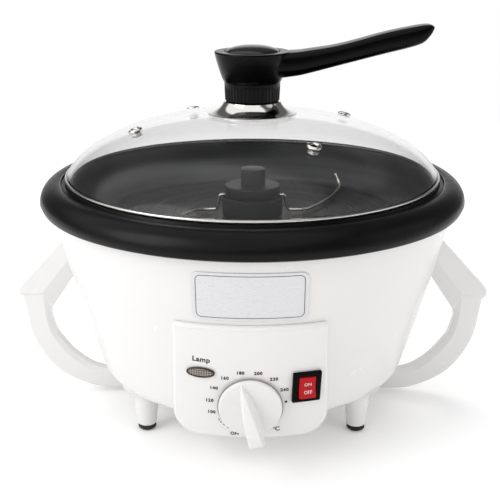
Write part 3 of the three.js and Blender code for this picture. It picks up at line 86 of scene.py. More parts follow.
def world_light():
    """White where it is seen straight; reflections show a pale backdrop, two soft panels and a dim room."""
    world = bpy.data.worlds.new("studio")
    scene.world = world
    world.use_nodes = True
    nodes, links = world.node_tree.nodes, world.node_tree.links
    nodes.clear()

    def combined(a, b, operation="MAXIMUM"):
        made = nodes.new("ShaderNodeMath")
        made.operation = operation
        links.new(a, made.inputs[0])
        links.new(b, made.inputs[1])
        return made.outputs[0]

    def patch(direction, starts, full, low, high):
        """How bright the room is toward a direction, by the cosine of the angle to it."""
        toward = nodes.new("ShaderNodeVectorMath")
        toward.operation = "DOT_PRODUCT"
        links.new(nodes.new("ShaderNodeTexCoord").outputs["Generated"], toward.inputs[0])
        toward.inputs[1].default_value = Vector(direction).normalized()
        made = nodes.new("ShaderNodeMapRange")
        made.interpolation_type = "SMOOTHSTEP"
        for key, value in (("From Min", starts), ("From Max", full), ("To Min", low), ("To Max", high)):
            made.inputs[key].default_value = value
        links.new(toward.outputs["Value"], made.inputs["Value"])
        return made.outputs[0]

    def background(colour):
        made = nodes.new("ShaderNodeBackground")
        made.inputs["Color"].default_value = (*colour, 1)
        return made

    path = nodes.new("ShaderNodeLightPath")
    through = combined(path.outputs["Is Transmission Ray"], path.outputs["Glossy Depth"], "GREATER_THAN")
    straight = combined(path.outputs["Is Camera Ray"], through)
    backdrop = patch((0, 1, -0.12), 0.8, 0.96, 0.12, 1.0)
    panel = patch((-0.45, -0.35, 0.82), 0.45, 0.62, 0.0, 1.0)
    strip = patch((0.95, -0.1, 0.3), 0.84, 0.95, 0.0, 0.6)
    soft = background((0.98, 0.985, 1.0))
    soft.inputs["Strength"].default_value = 0.68
    white = background((1, 1, 1))
    links.new(combined(straight, combined(backdrop, combined(panel, strip))), white.inputs["Strength"])
    seen = combined(combined(straight, path.outputs["Is Glossy Ray"]), path.outputs["Is Transmission Ray"])
    mix = nodes.new("ShaderNodeMixShader")
    out = nodes.new("ShaderNodeOutputWorld")
    for source, socket in zip((seen, soft.outputs[0], white.outputs[0]), mix.inputs):
        links.new(source, socket)
    links.new(mix.outputs[0], out.inputs["Surface"])


world_light()


# ---- materials

class Paint:
    """A Principled material whose colour, roughness and bump come from noise in object space."""

    def __init__(self, name, colour, rough, metal=0.0):
        self.material = bpy.data.materials.new(name)
        self.material.use_nodes = True
        self.material.diffuse_color = (*colour, 1)
        self.tree = self.material.node_tree
        self.shader = self.tree.nodes["Principled BSDF"]
        self.place = self.node("ShaderNodeTexCoord").outputs["Object"]
        self.set(Base_Color=(*colour, 1), Roughness=rough, Metallic=metal)

    def node(self, kind, **settings):
        made = self.tree.nodes.new(kind)
        for key, value in settings.items():
            setattr(made, key, value)
        return made

    def link(self, a, b):
        self.tree.links.new(a, b)

    def value(self, operation, *items):
        made = self.node("ShaderNodeMath", operation=operation)
        for socket, item in zip(made.inputs, items):
            if isinstance(item, (int, float)):
                socket.default_value = item
            else:
                self.link(item, socket)
        return made.outputs[0]

    def stretched(self, scale):
        made = self.node("ShaderNodeMapping")
        made.inputs["Scale"].default_value = scale
        self.link(self.place, made.inputs["Vector"])
        return made.outputs[0]

    def split(self):
        parts = self.node("ShaderNodeSeparateXYZ")
        self.link(self.place, parts.inputs[0])
        return parts.outputs

    def round_about_z(self):
        """Distance from the axis and height, so that marks run in rings."""
        x, y, z = self.split()
        far = self.value("SQRT", self.value("ADD", self.value("MULTIPLY", x, x), self.value("MULTIPLY", y, y)))
        whole = self.node("ShaderNodeCombineXYZ")
        self.link(far, whole.inputs[0])
        self.link(z, whole.inputs[2])
        return whole.outputs[0]

    def noise(self, scale, detail=3.0, place=None):
        made = self.node("ShaderNodeTexNoise")
        for key, value in (("Scale", scale), ("Detail", detail), ("Roughness", 0.55)):
            made.inputs[key].default_value = value
        self.link(place or self.place, made.inputs["Vector"])
        return made.outputs["Fac"]

    def vary_colour(self, fac, dark, light, start=0.3, end=0.7):
        made = self.node("ShaderNodeValToRGB")
        for element, position, colour in zip(made.color_ramp.elements, (start, end), (dark, light)):
            element.position = position
            element.color = (*colour, 1)
        self.link(fac, made.inputs["Fac"])
        self.link(made.outputs["Color"], self.shader.inputs["Base Color"])

    def vary_rough(self, fac, low, high):
        made = self.node("ShaderNodeMapRange")
        for key, value in (("From Min", 0.3), ("From Max", 0.7), ("To Min", low), ("To Max", high)):
            made.inputs[key].default_value = value
        self.link(fac, made.inputs["Value"])
        self.link(made.outputs[0], self.shader.inputs["Roughness"])

    def bump(self, fac, strength, distance):
        made = self.node("ShaderNodeBump")
        made.inputs["Strength"].default_value = strength
        made.inputs["Distance"].default_value = distance
        self.link(fac, made.inputs["Height"])
        self.link(made.outputs["Normal"], self.shader.inputs["Normal"])

    def set(self, **sockets):
        for key, value in sockets.items():
            self.shader.inputs[key.replace("_", " ")].default_value = value


def shaded(colour, factor):
    return tuple(min(1.0, c * factor) for c in colour)


def moulded(name, colour, rough, grain, drift, bump, specular=0.5):
    """Injection-moulded plastic: faint cloudiness, uneven gloss and a very fine skin."""
    paint = Paint(name, colour, rough)
    paint.vary_colour(paint.noise(14, 4), shaded(colour, 1 - drift), shaded(colour, 1 + drift))
    paint.vary_rough(paint.noise(45, 3), rough * 0.86, rough * 1.16)
    paint.bump(paint.noise(grain, 2), bump, 0.00004)
    paint.set(Specular_IOR_Level=specular)
    return paint.material


def turned_metal(name, colour, rough, lines=2600, drift=0.05, bump=0.15):
    """Spun or turned metal with fine rings about the axis."""
    paint = Paint(name, colour, rough, 1.0)
    rings = paint.noise(lines, 2, paint.round_about_z())
    paint.vary_colour(paint.noise(30, 3), shaded(colour, 1 - drift), shaded(colour, 1 + drift))
    paint.vary_rough(rings, rough * 0.75, rough * 1.3)
    paint.bump(rings, bump, 0.00003)
    return paint.material


def rolled_metal(name, colour, rough, stretch=(1, 1, 14), drift=0.08, bump=0.2):
    """Sheet metal with the grain of the mill and a dull, patchy surface."""
    paint = Paint(name, colour, rough, 1.0)
    grain = paint.noise(260, 3, paint.stretched(stretch))
    paint.vary_colour(paint.noise(22, 4), shaded(colour, 1 - drift), shaded(colour, 1 + drift))
    paint.vary_rough(grain, rough * 0.8, rough * 1.25)
    paint.bump(grain, bump, 0.00004)
    return paint.material


def rim_plastic():
    """Satin black moulding with a fine spark-eroded grain."""
    paint = Paint("rim_black", (0.0035, 0.0036, 0.0042), 0.3)
    paint.vary_colour(paint.noise(20, 4), (0.003, 0.0031, 0.0036), (0.005, 0.0052, 0.006))
    paint.vary_rough(paint.noise(160, 3), 0.27, 0.35)
    paint.set(Specular_IOR_Level=0.14)
    cells = paint.node("ShaderNodeTexVoronoi")
    cells.inputs["Scale"].default_value = 1500
    paint.link(paint.place, cells.inputs["Vector"])
    paint.bump(cells.outputs["Distance"], 0.06, 0.00004)
    return paint.material


def non_stick():
    """Dark coated pan, with spun rings under the coating."""
    paint = Paint("non_stick_coating", (0.03, 0.031, 0.033), 0.32)
    bands = paint.noise(150, 2, paint.round_about_z())
    paint.vary_colour(bands, (0.022, 0.0225, 0.0245), (0.042, 0.043, 0.046), 0.36, 0.66)
    rings = paint.noise(420, 2, paint.round_about_z())
    paint.vary_rough(rings, 0.26, 0.38)
    paint.bump(rings, 0.1, 0.00005)
    paint.set(Specular_IOR_Level=0.45)
    return paint.material


def clear_glass():
    paint = Paint("clear_glass", (0.996, 0.995, 0.998), 0.015)
    paint.set(Transmission_Weight=1.0, IOR=1.24)
    paint.vary_rough(paint.noise(9, 2), 0.005, 0.03)
    return paint.material


def silver_film():
    """Silvery film with very fine lines along its length."""
    paint = Paint("silver_film", (0.74, 0.745, 0.76), 0.3, 0.3)
    lines = paint.noise(300, 3, paint.stretched((1, 1, 18)))
    paint.vary_colour(lines, (0.72, 0.722, 0.734), (0.735, 0.737, 0.75))
    paint.vary_rough(lines, 0.26, 0.34)
    paint.bump(lines, 0.004, 0.00001)
    return paint.material


def lamp_smoke():
    """Smoke-tinted lens with moulded ribs crossing in two directions."""
    paint = Paint("lamp_smoke", (0.2, 0.16, 0.13), 0.22)
    x, _, z = paint.split()
    waves = [paint.value("SINE", paint.value("MULTIPLY", along, rate)) for along, rate in ((x, 4100), (z, 4600))]
    grid = paint.value("MAXIMUM", *waves)
    paint.vary_colour(grid, (0.05, 0.036, 0.03), (0.34, 0.27, 0.225), 0.0, 0.95)
    paint.bump(grid, 0.5, 0.0002)
    paint.vary_rough(paint.noise(300), 0.16, 0.3)
    paint.set(Coat_Weight=0.4, Coat_Roughness=0.05)
    return paint.material


def printed(name, colour):
    """Pad-printed ink with slightly uneven cover."""
    paint = Paint(name, colour, 0.5)
    paint.vary_colour(paint.noise(2200, 2), shaded(colour, 0.8), shaded(colour, 1.25))
    paint.vary_rough(paint.noise(700), 0.42, 0.58)
    return paint.material


# Mouldings: colour, roughness, grain of the skin, drift of the colour, bump, specular level
WHITE = moulded("white_plastic", (0.84, 0.832, 0.822), 0.24, 2400, 0.006, 0.015)
RIM = rim_plastic()
# Rim lip bead: a lighter grey as a painted highlight along the lip's edge
LIP_HIGHLIGHT = moulded("rim_lip_painted_highlight", (0.1, 0.1, 0.104), 0.2, 900, 0.1, 0.02)
# Knob edge ring: grey-brown as painted shade for the gap under the disc
GAP_SHADE = moulded("dial_gap_painted_shade", (0.3, 0.27, 0.245), 0.4, 900, 0.1, 0.02)
GRIP = moulded("grip_black", (0.0012, 0.0012, 0.0014), 0.22, 1600, 0.12, 0.015, 0.12)
CAP = moulded("cap_grey", (0.012, 0.012, 0.0135), 0.16, 1500, 0.1, 0.015, 0.45)
HUB = moulded("hub_plastic", (0.026, 0.0265, 0.028), 0.42, 1600, 0.06, 0.008, 0.3)
SWITCH = moulded("switch_black", (0.002, 0.002, 0.0024), 0.3, 1400, 0.15, 0.05, 0.06)
RED = moulded("rocker_red", (0.46, 0.003, 0.007), 0.2, 1500, 0.06, 0.015, 0.2)
BROWN = moulded("lamp_frame", (0.03, 0.018, 0.014), 0.25, 1200, 0.12, 0.1)
NYLON = moulded("nylon", (0.72, 0.68, 0.58), 0.45, 800, 0.04, 0.2)
RUBBER = moulded("pad_rubber", (0.012, 0.012, 0.012), 0.72, 1800, 0.2, 0.6)
PAN = non_stick()
STEEL = turned_metal("ring_steel", (0.72, 0.7, 0.67), 0.2)
WIRE = rolled_metal("bright_wire", (0.78, 0.75, 0.7), 0.2, (1, 1, 1), 0.05, 0.1)
CHROME = turned_metal("skirt_chrome", (0.86, 0.83, 0.79), 0.06, 1200, 0.02, 0.04)
SCREW = rolled_metal("screw_steel", (0.62, 0.61, 0.59), 0.3, (1, 1, 1), 0.1, 0.2)
ZINC = rolled_metal("sheet_steel", (0.55, 0.56, 0.57), 0.42)
COPPER = rolled_metal("copper", (0.72, 0.36, 0.2), 0.34, (1, 1, 1), 0.12, 0.15)
BRASS = turned_metal("brass", (0.75, 0.56, 0.27), 0.28)
GLASS = clear_glass()
FILM = silver_film()
SMOKE = lamp_smoke()
BORDER = printed("border_ink", (0.05, 0.062, 0.088))
INK = printed("dial_ink", (0.004, 0.004, 0.005))
PALE_INK = printed("switch_ink", (0.8, 0.78, 0.76))


# ---- mesh making

def made(name, points, faces, material, smooth=32):
    """A mesh object from points in millimetres."""
    mesh = bpy.data.meshes.new(name)
    mesh.from_pydata([(p[0] * MM, p[1] * MM, p[2] * MM) for p in points], [], faces)
    work = bmesh.new()
    work.from_mesh(mesh)
    bmesh.ops.remove_doubles(work, verts=work.verts, dist=1e-7)
    bmesh.ops.recalc_face_normals(work, faces=work.faces)
    work.to_mesh(mesh)
    work.free()
    mesh.materials.append(material)
    return shade(linked(name, mesh), smooth)


def shade(piece, angle):
    for face in piece.data.polygons:
        face.use_smooth = True
    piece.data.set_sharp_from_angle(angle=radians(angle))
    return piece


def place(piece, matrix):
    """Moves a piece's mesh by a matrix whose shift is in millimetres."""
    scaled = matrix.copy()
    scaled.translation = matrix.translation * MM
    piece.data.transform(scaled)
    return piece


def joined(name, pieces, smooth=30):
    """One piece of several, each with its own material."""
    work = bmesh.new()
    slots = []
    for piece in pieces:
        material = piece.data.materials[0]
        if material not in slots:
            slots.append(material)
        first = len(work.faces)
        work.from_mesh(piece.data)
        work.faces.ensure_lookup_table()
        for face in work.faces[first:]:
            face.material_index = slots.index(material)
    mesh = bpy.data.meshes.new(name)
    work.to_mesh(mesh)
    work.free()
    for material in slots:
        mesh.materials.append(material)
    for piece in pieces:
        bpy.data.objects.remove(piece)
    return shade(linked(name, mesh), smooth)


def cut(piece, *tools, operation="DIFFERENCE", smooth=32):
    for tool in tools:
        step = piece.modifiers.new("cut", "BOOLEAN")
        step.operation = operation
        step.solver = "EXACT"
        step.object = tool
    depsgraph = bpy.context.evaluated_depsgraph_get()
    mesh = bpy.data.meshes.new_from_object(piece.evaluated_get(depsgraph))
    piece.modifiers.clear()
    piece.data = mesh
    for tool in tools:
        bpy.data.objects.remove(tool)
    return shade(piece, smooth)


def rounded(corners, closed=True, steps=5):
    """Replaces each corner (x, y, radius) by an arc. A corner without a radius stays."""
    result = []
    count = len(corners)
    for i, corner in enumerate(corners):
        here = Vector(corner[:2])
        radius = corner[2] if len(corner) > 2 else 0
        if not radius or (not closed and i in (0, count - 1)):
            result.append(tuple(here))
            continue
        before, after = Vector(corners[i - 1][:2]), Vector(corners[(i + 1) % count][:2])
        u, v = (before - here).normalized(), (after - here).normalized()
        half = u.angle(v) / 2
        if half > radians(88):
            result.append(tuple(here))
            continue
        reach = min(radius / tan(half), 0.48 * (before - here).length, 0.48 * (after - here).length)
        size = reach * tan(half)
        centre = here + (u + v).normalized() * (size / sin(half))
        start, end = here + u * reach - centre, here + v * reach - centre
        turn = atan2(start.x * end.y - start.y * end.x, start.dot(end))
        for k in range(steps + 1):
            part = turn * k / steps
            c, s = cos(part), sin(part)
            result.append((centre.x + start.x * c - start.y * s, centre.y + start.x * s + start.y * c))
    return result


def curve_spot(before, a, b, after, t):
    """A point of the Catmull-Rom curve between a and b."""
    return 0.5 * (2 * a + (b - before) * t + (2 * before - 5 * a + 4 * b - after) * t * t
                  + (3 * a - before - 3 * b + after) * t ** 3)


def spline(points, count):
    """Evenly spaced points on a curve through the given ones."""
    nodes = [Vector(p) for p in points]
    nodes = [nodes[0] * 2 - nodes[1]] + nodes + [nodes[-1] * 2 - nodes[-2]]
    fine = [curve_spot(*nodes[i:i + 4], k / 16) for i in range(len(nodes) - 3) for k in range(16)]
    return even(fine + [nodes[-2]], count)


def even(points, count):
    run = [0.0]
    for a, b in zip(points, points[1:]):
        run.append(run[-1] + (b - a).length)
    result, k = [], 0
    for i in range(count):
        want = run[-1] * i / (count - 1)
        while k < len(run) - 2 and run[k + 1] < want:
            k += 1
        span = run[k + 1] - run[k]
        result.append(points[k].lerp(points[k + 1], (want - run[k]) / span if span else 0))
    return result


def between(table, x):
    """The value at x in a table of (x, value)."""
    for (a, u), (b, v) in zip(table, table[1:]):
        if x <= b:
            return u + (v - u) * max(0, x - a) / (b - a)
    return table[-1][1]


def oval(wide, tall, count, x=0.0, y=0.0):
    return [(x + wide * cos(a), y + tall * sin(a)) for a in (2 * pi * k / count for k in range(count))]


def box(half_width, low, high):
    return [(-half_width, low), (half_width, low), (half_width, high), (-half_width, high)]


def round_box(half_width, low, high, radius, steps=8):
    return rounded([(x, y, radius) for x, y in box(half_width, low, high)], steps=steps)


def lathe(name, profile, material, segments=112, closed=True, smooth=32, warp=None):
    """Turns a profile of (radius, height) about Z. Points on the axis close it."""
    points, rings, faces = [], [], []
    for radius, height in profile:
        if radius < 1e-6:
            rings.append([len(points)])
            points.append((0, 0, height))
            continue
        rings.append(list(range(len(points), len(points) + segments)))
        for k in range(segments):
            turn = 2 * pi * k / segments
            far = radius * (warp(turn, radius, height) if warp else 1)
            points.append((far * cos(turn), far * sin(turn), height))
    pairs = list(zip(rings, rings[1:])) + ([(rings[-1], rings[0])] if closed else [])
    for low, high in pairs:
        if len(low) == 1 and len(high) == 1:
            continue
        for k in range(segments):
            n = (k + 1) % segments
            if len(low) == 1:
                faces.append((low[0], high[n], high[k]))
            elif len(high) == 1:
                faces.append((low[k], low[n], high[0]))
            else:
                faces.append((low[k], low[n], high[n], high[k]))
    return made(name, points, faces, material, smooth)


def bore(radius, low, high, at=Matrix(), segments=32):
    """A cylinder to cut with, along the Z of its place."""
    tool = lathe("bore", [(0, low), (radius, low), (radius, high), (0, high)], WHITE, segments, False)
    return place(tool, at)


def bands(sections, count):
    """Faces between loops of equal length that follow each other."""
    size = len(sections[0])
    faces = []
    for i in range(count):
        here, there = i * size, (i + 1) % len(sections) * size
        for k in range(size):
            n = (k + 1) % size
            faces.append((here + k, here + n, there + n, there + k))
    return faces


def loft(name, sections, material, smooth=32):
    """Skin through loops of equal length, closed at both ends."""
    points = [p for loop in sections for p in loop]
    size = len(sections[0])
    ends = [tuple(range(size)), tuple(range(len(points) - size, len(points)))]
    return made(name, points, bands(sections, len(sections) - 1) + ends, material, smooth)


def prism(name, outline, low, high, material, edge=0.0, steps=3):
    """A plate with the outline in x, y between two heights, its upper edge rounded."""
    loops = [[(x, y, low) for x, y in outline]]
    if not edge:
        loops.append([(x, y, high) for x, y in outline])
    else:
        for k in range(steps + 1):
            part = QUARTER * k / steps
            inner = inset(outline, edge * (1 - cos(part)))
            loops.append([(x, y, high - edge + edge * sin(part)) for x, y in inner])
    return loft(name, loops, material)


def inset(outline, distance):
    """Moves a convex outline inward by a distance, point by point."""
    count = len(outline)
    centre = sum((Vector(p) for p in outline), Vector((0, 0))) / count
    result = []
    for i in range(count):
        a, b, c = Vector(outline[i - 1]), Vector(outline[i]), Vector(outline[(i + 1) % count])
        normals = []
        for p, q in ((a, b), (b, c)):
            run = q - p
            if run.length < 1e-9:
                continue
            side = Vector((-run.y, run.x)).normalized()
            normals.append(side if side.dot(centre - b) > 0 else -side)
        total = sum(normals, Vector((0, 0))).normalized()
        lean = max(0.5, total.dot(normals[0])) if normals else 1
        result.append(tuple(b + total * (distance / lean)))
    return result


def tube(name, path, radius, material, sides=16, blunt=True):
    """A round bar along a path, with slightly rounded ends."""
    points = [Vector(p) for p in path]
    last = len(points) - 1
    ahead = [(points[min(i + 1, last)] - points[max(i - 1, 0)]).normalized() for i in range(last + 1)]
    across = ahead[0].orthogonal().normalized()
    sections = []
    for spot, along in zip(points, ahead):
        across = (across - along * across.dot(along)).normalized()
        other = along.cross(across)
        sections.append([spot + (across * c + other * s) * radius for c, s in oval(1, 1, sides)])
    if blunt:
        for end, sign in ((0, -1), (-1, 1)):
            loop = sections[end]
            middle = sum(loop, Vector()) / sides
            tip = [middle + (p - middle) * 0.7 + ahead[end] * sign * radius * 0.3 for p in loop]
            sections.insert(0 if end == 0 else len(sections), tip)
    return loft(name, sections, material, 50)


def turn_z(degrees):
    return Matrix.Rotation(radians(degrees), 4, "Z")


def shift(x, y, z):
    return Matrix.Translation((x, y, z))


def keep(piece, body, slot, *nodes):
    """Puts a finished piece on its body and hides the CAD nodes it stands for; the slot argument is not used."""
    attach(piece, body)
    if nodes:
        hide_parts(*nodes)


# ---- shared forms

BOWL_BASE, BOWL_FLAT, BOWL_CORNER = 27.0, 96.0, 12.0
BOWL_TOP, BOWL_TOP_RADIUS, BOWL_BULGE = 145.2, 136.8, 1.2
CORNER_Z = BOWL_BASE + BOWL_CORNER
WALL_LEAN = atan2(BOWL_TOP_RADIUS - BOWL_FLAT - BOWL_CORNER, BOWL_TOP - CORNER_Z)
WALL_START = (BOWL_FLAT + BOWL_CORNER * cos(WALL_LEAN), CORNER_Z - BOWL_CORNER * sin(WALL_LEAN))
FASCIA_TOP, FASCIA_RADIUS, FASCIA_LEAN = 102.5, 130.0, radians(8)

# Places: legs and their pads, cover screws, each handle's two screws, gland, and controls on the fascia
LEG_ANGLES, LEG_OUT = (-140, -40, 40, 140), 93
COVER_ANGLES, COVER_OUT = (-90, 30, 150), 77.8
HANDLE_SCREW_Z, HANDLE_FOOT_OUT = 108, 96.4
GLAND_Z = 46
KNOB_AT, SWITCH_AT, LAMP_AT = (0, 48), (34, 60.5), (-30, 70.5)


def bowl_radius(z):
    if z < WALL_START[1]:
        below = min(CORNER_Z - z, BOWL_CORNER)
        return BOWL_FLAT + sqrt(max(0, BOWL_CORNER ** 2 - below ** 2))
    share = (z - WALL_START[1]) / (BOWL_TOP - WALL_START[1])
    return WALL_START[0] + (BOWL_TOP_RADIUS - WALL_START[0]) * share + 4 * BOWL_BULGE * share * (1 - share)


def bowl_line(offset, top=BOWL_TOP, corner_steps=10, wall_steps=24):
    """Profile of the bowl's wall from its flat base up, moved inward by an offset."""
    line = []
    radius = BOWL_CORNER - offset
    for k in range(corner_steps + 1):
        turn = -QUARTER + (QUARTER - WALL_LEAN) * k / corner_steps
        line.append((BOWL_FLAT + radius * cos(turn), CORNER_Z + radius * sin(turn)))
    for k in range(1, wall_steps + 1):
        z = WALL_START[1] + (top - WALL_START[1]) * k / wall_steps
        line.append((bowl_radius(z) - offset, z))
    return line


def bowl_form(gap, segments=144):
    """The bowl as a solid to cut with, larger by a gap."""
    line = bowl_line(-gap)
    return lathe("bowl", [(0, line[0][1])] + line + [(line[-1][0], 156), (0, 156)], WHITE, segments, False)


def fascia_radius(z):
    return FASCIA_RADIUS - (FASCIA_TOP - z) * tan(FASCIA_LEAN)


def on_fascia(x, z):
    """Frame on the leaning, curved fascia: local Z points out and Y up."""
    far = fascia_radius(z)
    turn = asin(x / far)
    c, s = cos(FASCIA_LEAN), sin(FASCIA_LEAN)
    out = Vector((sin(turn) * c, -cos(turn) * c, -s))
    up = Vector((sin(turn) * s, -cos(turn) * s, c))
    matrix = Matrix((up.cross(out), up, out)).transposed().to_4x4()
    matrix.translation = (far * sin(turn), -far * cos(turn), z)
    return matrix


def cover_places():
    return [turn_z(angle) @ shift(COVER_OUT, 0, 0) for angle in COVER_ANGLES]


def handle_screw_place(tilt):
    return shift(bowl_radius(HANDLE_SCREW_Z), 0, HANDLE_SCREW_Z) @ Matrix.Rotation(tilt, 4, "Y")


def gland_place():
    return shift(0, bowl_radius(GLAND_Z), GLAND_Z) @ Matrix.Rotation(-QUARTER - WALL_LEAN, 4, "X")


# ---- white housing

def leg(angle):
    """One moulded leg, flaring smoothly into the bowl's base, with a hole for its pad's peg."""
    line = [(0, 4.2), (5.9, 4.2), (6.4, 4.7), (7.2, 12.5), (8.3, 22)]
    for k in range(1, 9):
        part = k / 8
        line.append((8.3 + 0.9 * part + 6.6 * part ** 2.4, 22 + 10.5 * part))
    line.append((0, 36))
    at = turn_z(angle) @ shift(LEG_OUT, 0, 0)
    piece = place(lathe("leg", line, WHITE, 40, False), at)
    return cut(piece, bowl_form(-1.25, 96), bore(2.3, 0, 10.5, at))


def outer_shell():
    profile = [(74, 27)] + bowl_line(0) + [(134.2, 145.2), (134.2, 157.2), (131.7, 157.2), (131.7, 134.7)]
    profile += bowl_line(2.5, 124)[::-1] + [(74, 29.5)]
    shell = lathe("shell", profile, WHITE, 160)
    window = loft("window", [[(x, y, z) for x, z in round_box(40, 38, 93, 6)] for y in (-150, -90)], WHITE)
    tools = [window, bore(6.3, -12, 6, gland_place())]
    for side in (0, 180):
        tools.append(bore(2.1, -8, 8, turn_z(side) @ handle_screw_place(QUARTER), 16))
        tools.append(bore(2.1, 20, 34, turn_z(side) @ shift(HANDLE_FOOT_OUT, 0, 0), 16))
    tools += [bore(2.0, 20, 34, at, 16) for at in cover_places()]
    cut(shell, *tools)
    whole = joined("housing_shell", [shell] + [leg(angle) for angle in LEG_ANGLES])
    keep(whole, "housing", "white_plastic", "outer_shell")


def foot_pads():
    line = rounded([(0, 0), (4.2, 0, 0.8), (6.1, 1.6, 0.7), (6.1, 3.9, 0.5), (2, 3.9), (2, 9.9), (0, 9.9)], False, 4)
    for i, angle in enumerate(LEG_ANGLES, 1):
        pad = lathe(f"rubber_pad_{i}", line, RUBBER, 40, False)
        place(pad, turn_z(angle) @ shift(LEG_OUT, 0, 0))
        keep(pad, "housing", "pad_rubber", f"foot_pad_{i}")


# Sections of a side handle as outer, ridge and inner points in x, z, with the half depth at each
HANDLE_RUN = [
    ((116.6, 134.3), (112, 126), (108.4, 118), 2.0, 1.9, 1.2),
    ((133, 118.5), (123.6, 111.3), (119.2, 102.2), 3.0, 3.3, 1.2),
    ((148.6, 101.5), (135.7, 95.9), (130, 86.4), 4.2, 4.8, 1.4),
    ((162.6, 86.4), (146.2, 82.6), (139.5, 72.5), 5.4, 5.9, 2.4),
    ((166.2, 82.6), (148, 80.3), (141.6, 69.5), 5.8, 6.2, 2.7),
    ((167, 80.6), (148.7, 79.3), (142.4, 68.3), 6.1, 6.4, 2.9),
    ((167, 77.5), (149, 77.8), (143.3, 67), 6.45, 6.45, 3.1),
    ((166.3, 76.2), (149.2, 76.7), (144, 65.8), 5.5, 5.5, 3.1),
    ((164, 73.8), (149.3, 74), (144.7, 64.2), 5.5, 5.5, 3.1),
    ((162.8, 65), (149, 63.3), (145.2, 60.5), 5.5, 5.5, 3.2),
    ((159.7, 47.3), (145.7, 47.6), (142, 48), 5.5, 5.5, 3.3),
    ((153, 32.4), (140, 38), (137, 40), 5.6, 5.6, 3.4),
    ((143.1, 19.7), (132.4, 28.6), (130, 31.5), 5.6, 5.6, 3.4),
    ((129.2, 10.5), (120.6, 19.4), (119, 22.8), 5.6, 5.6, 3.4),
    ((113.6, 5.1), (109.8, 15.2), (109.2, 18.9), 5.6, 5.6, 3.5),
    ((100, 4.2), (101.6, 14.6), (102, 18.1), 5.6, 5.6, 3.6),
    ((93.8, 4.3), (97.6, 14.8), (99.9, 18), 5.6, 5.6, 3.8),
    ((93.4, 6), (97, 17.2), (99.6, 18.6), 5.6, 5.6, 4.2),
    ((93.4, 30), (97, 30), (99.6, 30), 5.6, 5.6, 5.4),
]
HANDLE_CURVED = range(9, 15)


def handle_section(outer, ridge, inner, depths):
    """Loop of points round one section, its four outside corners rounded."""
    low, top = (ridge - inner).length, (outer - ridge).length
    d_out, d_mid, d_in = depths
    corners = [(0, -d_in, 0.9), (low, -d_mid), (low + top, -d_out, 1.5),
               (low + top, d_out, 1.5), (low, d_mid), (0, d_in, 0.9)]
    loop = []
    for u, y in rounded(corners, steps=7):
        spot = inner.lerp(ridge, u / low) if u < low else ridge.lerp(outer, (u - low) / top)
        loop.append((spot.x, y, spot.y))
    return loop


def side_handle(side, turn):
    rows = [[Vector(p) for p in row[:3]] + [Vector(row[3:])] for row in HANDLE_RUN]
    sections = []
    for k in range(len(rows) - 1):
        near = (rows[k - 1], rows[k], rows[k + 1], rows[min(k + 2, len(rows) - 1)])
        for step in range(6 if k in HANDLE_CURVED else 1):
            sections.append(handle_section(*(curve_spot(*four, step / 6) for four in zip(*near))))
    sections.append(handle_section(*rows[-1]))
    piece = loft(f"{side}_side_handle", sections, WHITE, 13)
    screw = bore(1.9, -16, 6, handle_screw_place(-QUARTER), 16)
    foot = bore(1.9, 19.5, 30, shift(HANDLE_FOOT_OUT, 0, 0), 16)
    cut(piece, bowl_form(0.3), screw, foot, smooth=13)
    keep(place(piece, turn_z(turn)), "housing", "white_plastic", f"{side}_handle")


def side_handles():
    side_handle("right", 0)
    side_handle("left", 180)


def base_cover():
    profile = rounded([(0, 24.4), (81, 24.4, 0.7), (81, 26.7, 0.4), (0, 26.7)], False, 3)
    cover = lathe("base_plate", profile, WHITE, 128, False)
    outline = rounded([(39, -2, 1.9), (61, -2, 1.9), (61, 2, 1.9), (39, 2, 1.9)])
    tools = [place(prism("slot", outline, 20, 30, WHITE), turn_z(36 * (i + 0.5))) for i in range(10)]
    tools += [bore(2.0, 20, 30, at, 20) for at in cover_places()]
    rib = lathe("rib", rounded([(66, 24.0, 0.2), (67.2, 24.0, 0.2), (67.2, 24.8), (66, 24.8)], steps=3), WHITE, 128)
    cut(cover, *tools)
    keep(joined("slotted_base_cover", [cover, rib]), "housing", "white_plastic", "base_cover")


def cross_screw(name, length=7, head=3.1, rise=2.0, thread=1.6, pitch=0.7):
    """Pan-head screw along -Z from its seat at zero, with a cross recess and a threaded shank."""
    line = [(0, rise)]
    for k in range(1, 6):
        part = QUARTER * k / 6
        line.append((head * sin(part), rise * (0.35 + 0.65 * cos(part))))
    line += [(head, rise * 0.35), (head, 0), (thread, 0)]
    for k in range(int(length / pitch)):
        z = -0.3 - k * pitch
        line += [(thread, z), (thread * 0.8, z - 0.35)]
    line += [(thread * 0.5, -length + 0.2), (0, -length)]
    piece = lathe(name, line, SCREW, 24, False, 30)
    bar = box(head * 0.62, -0.42, 0.42)
    bars = [place(prism("bar", bar, rise * 0.35, rise + 1, SCREW), turn_z(turn)) for turn in (0, 90)]
    return cut(piece, *bars, smooth=30)


def cover_screws():
    for i, at in enumerate(cover_places()):
        piece = cross_screw(f"base_screw_{i + 1}")
        place(piece, at @ shift(0, 0, 24.1) @ Matrix.Rotation(pi, 4, "X") @ turn_z(20 + 47 * i))
        keep(piece, "housing", "screw_steel", f"cover_screw_{i + 1}")


def cord_inlet():
    line = rounded([(3.6, -12), (6, -12), (6, 0.3), (9, 0.3, 0.4), (8.6, 1.9, 0.8),
                    (5.4, 2.5, 0.8), (3.6, 2.5, 0.5)], steps=4)
    keep(place(lathe("inlet_bush", line, RUBBER, 48), gland_place()), "housing", "black_plastic", "inlet_gland")


# ---- rim, pan and stirrer

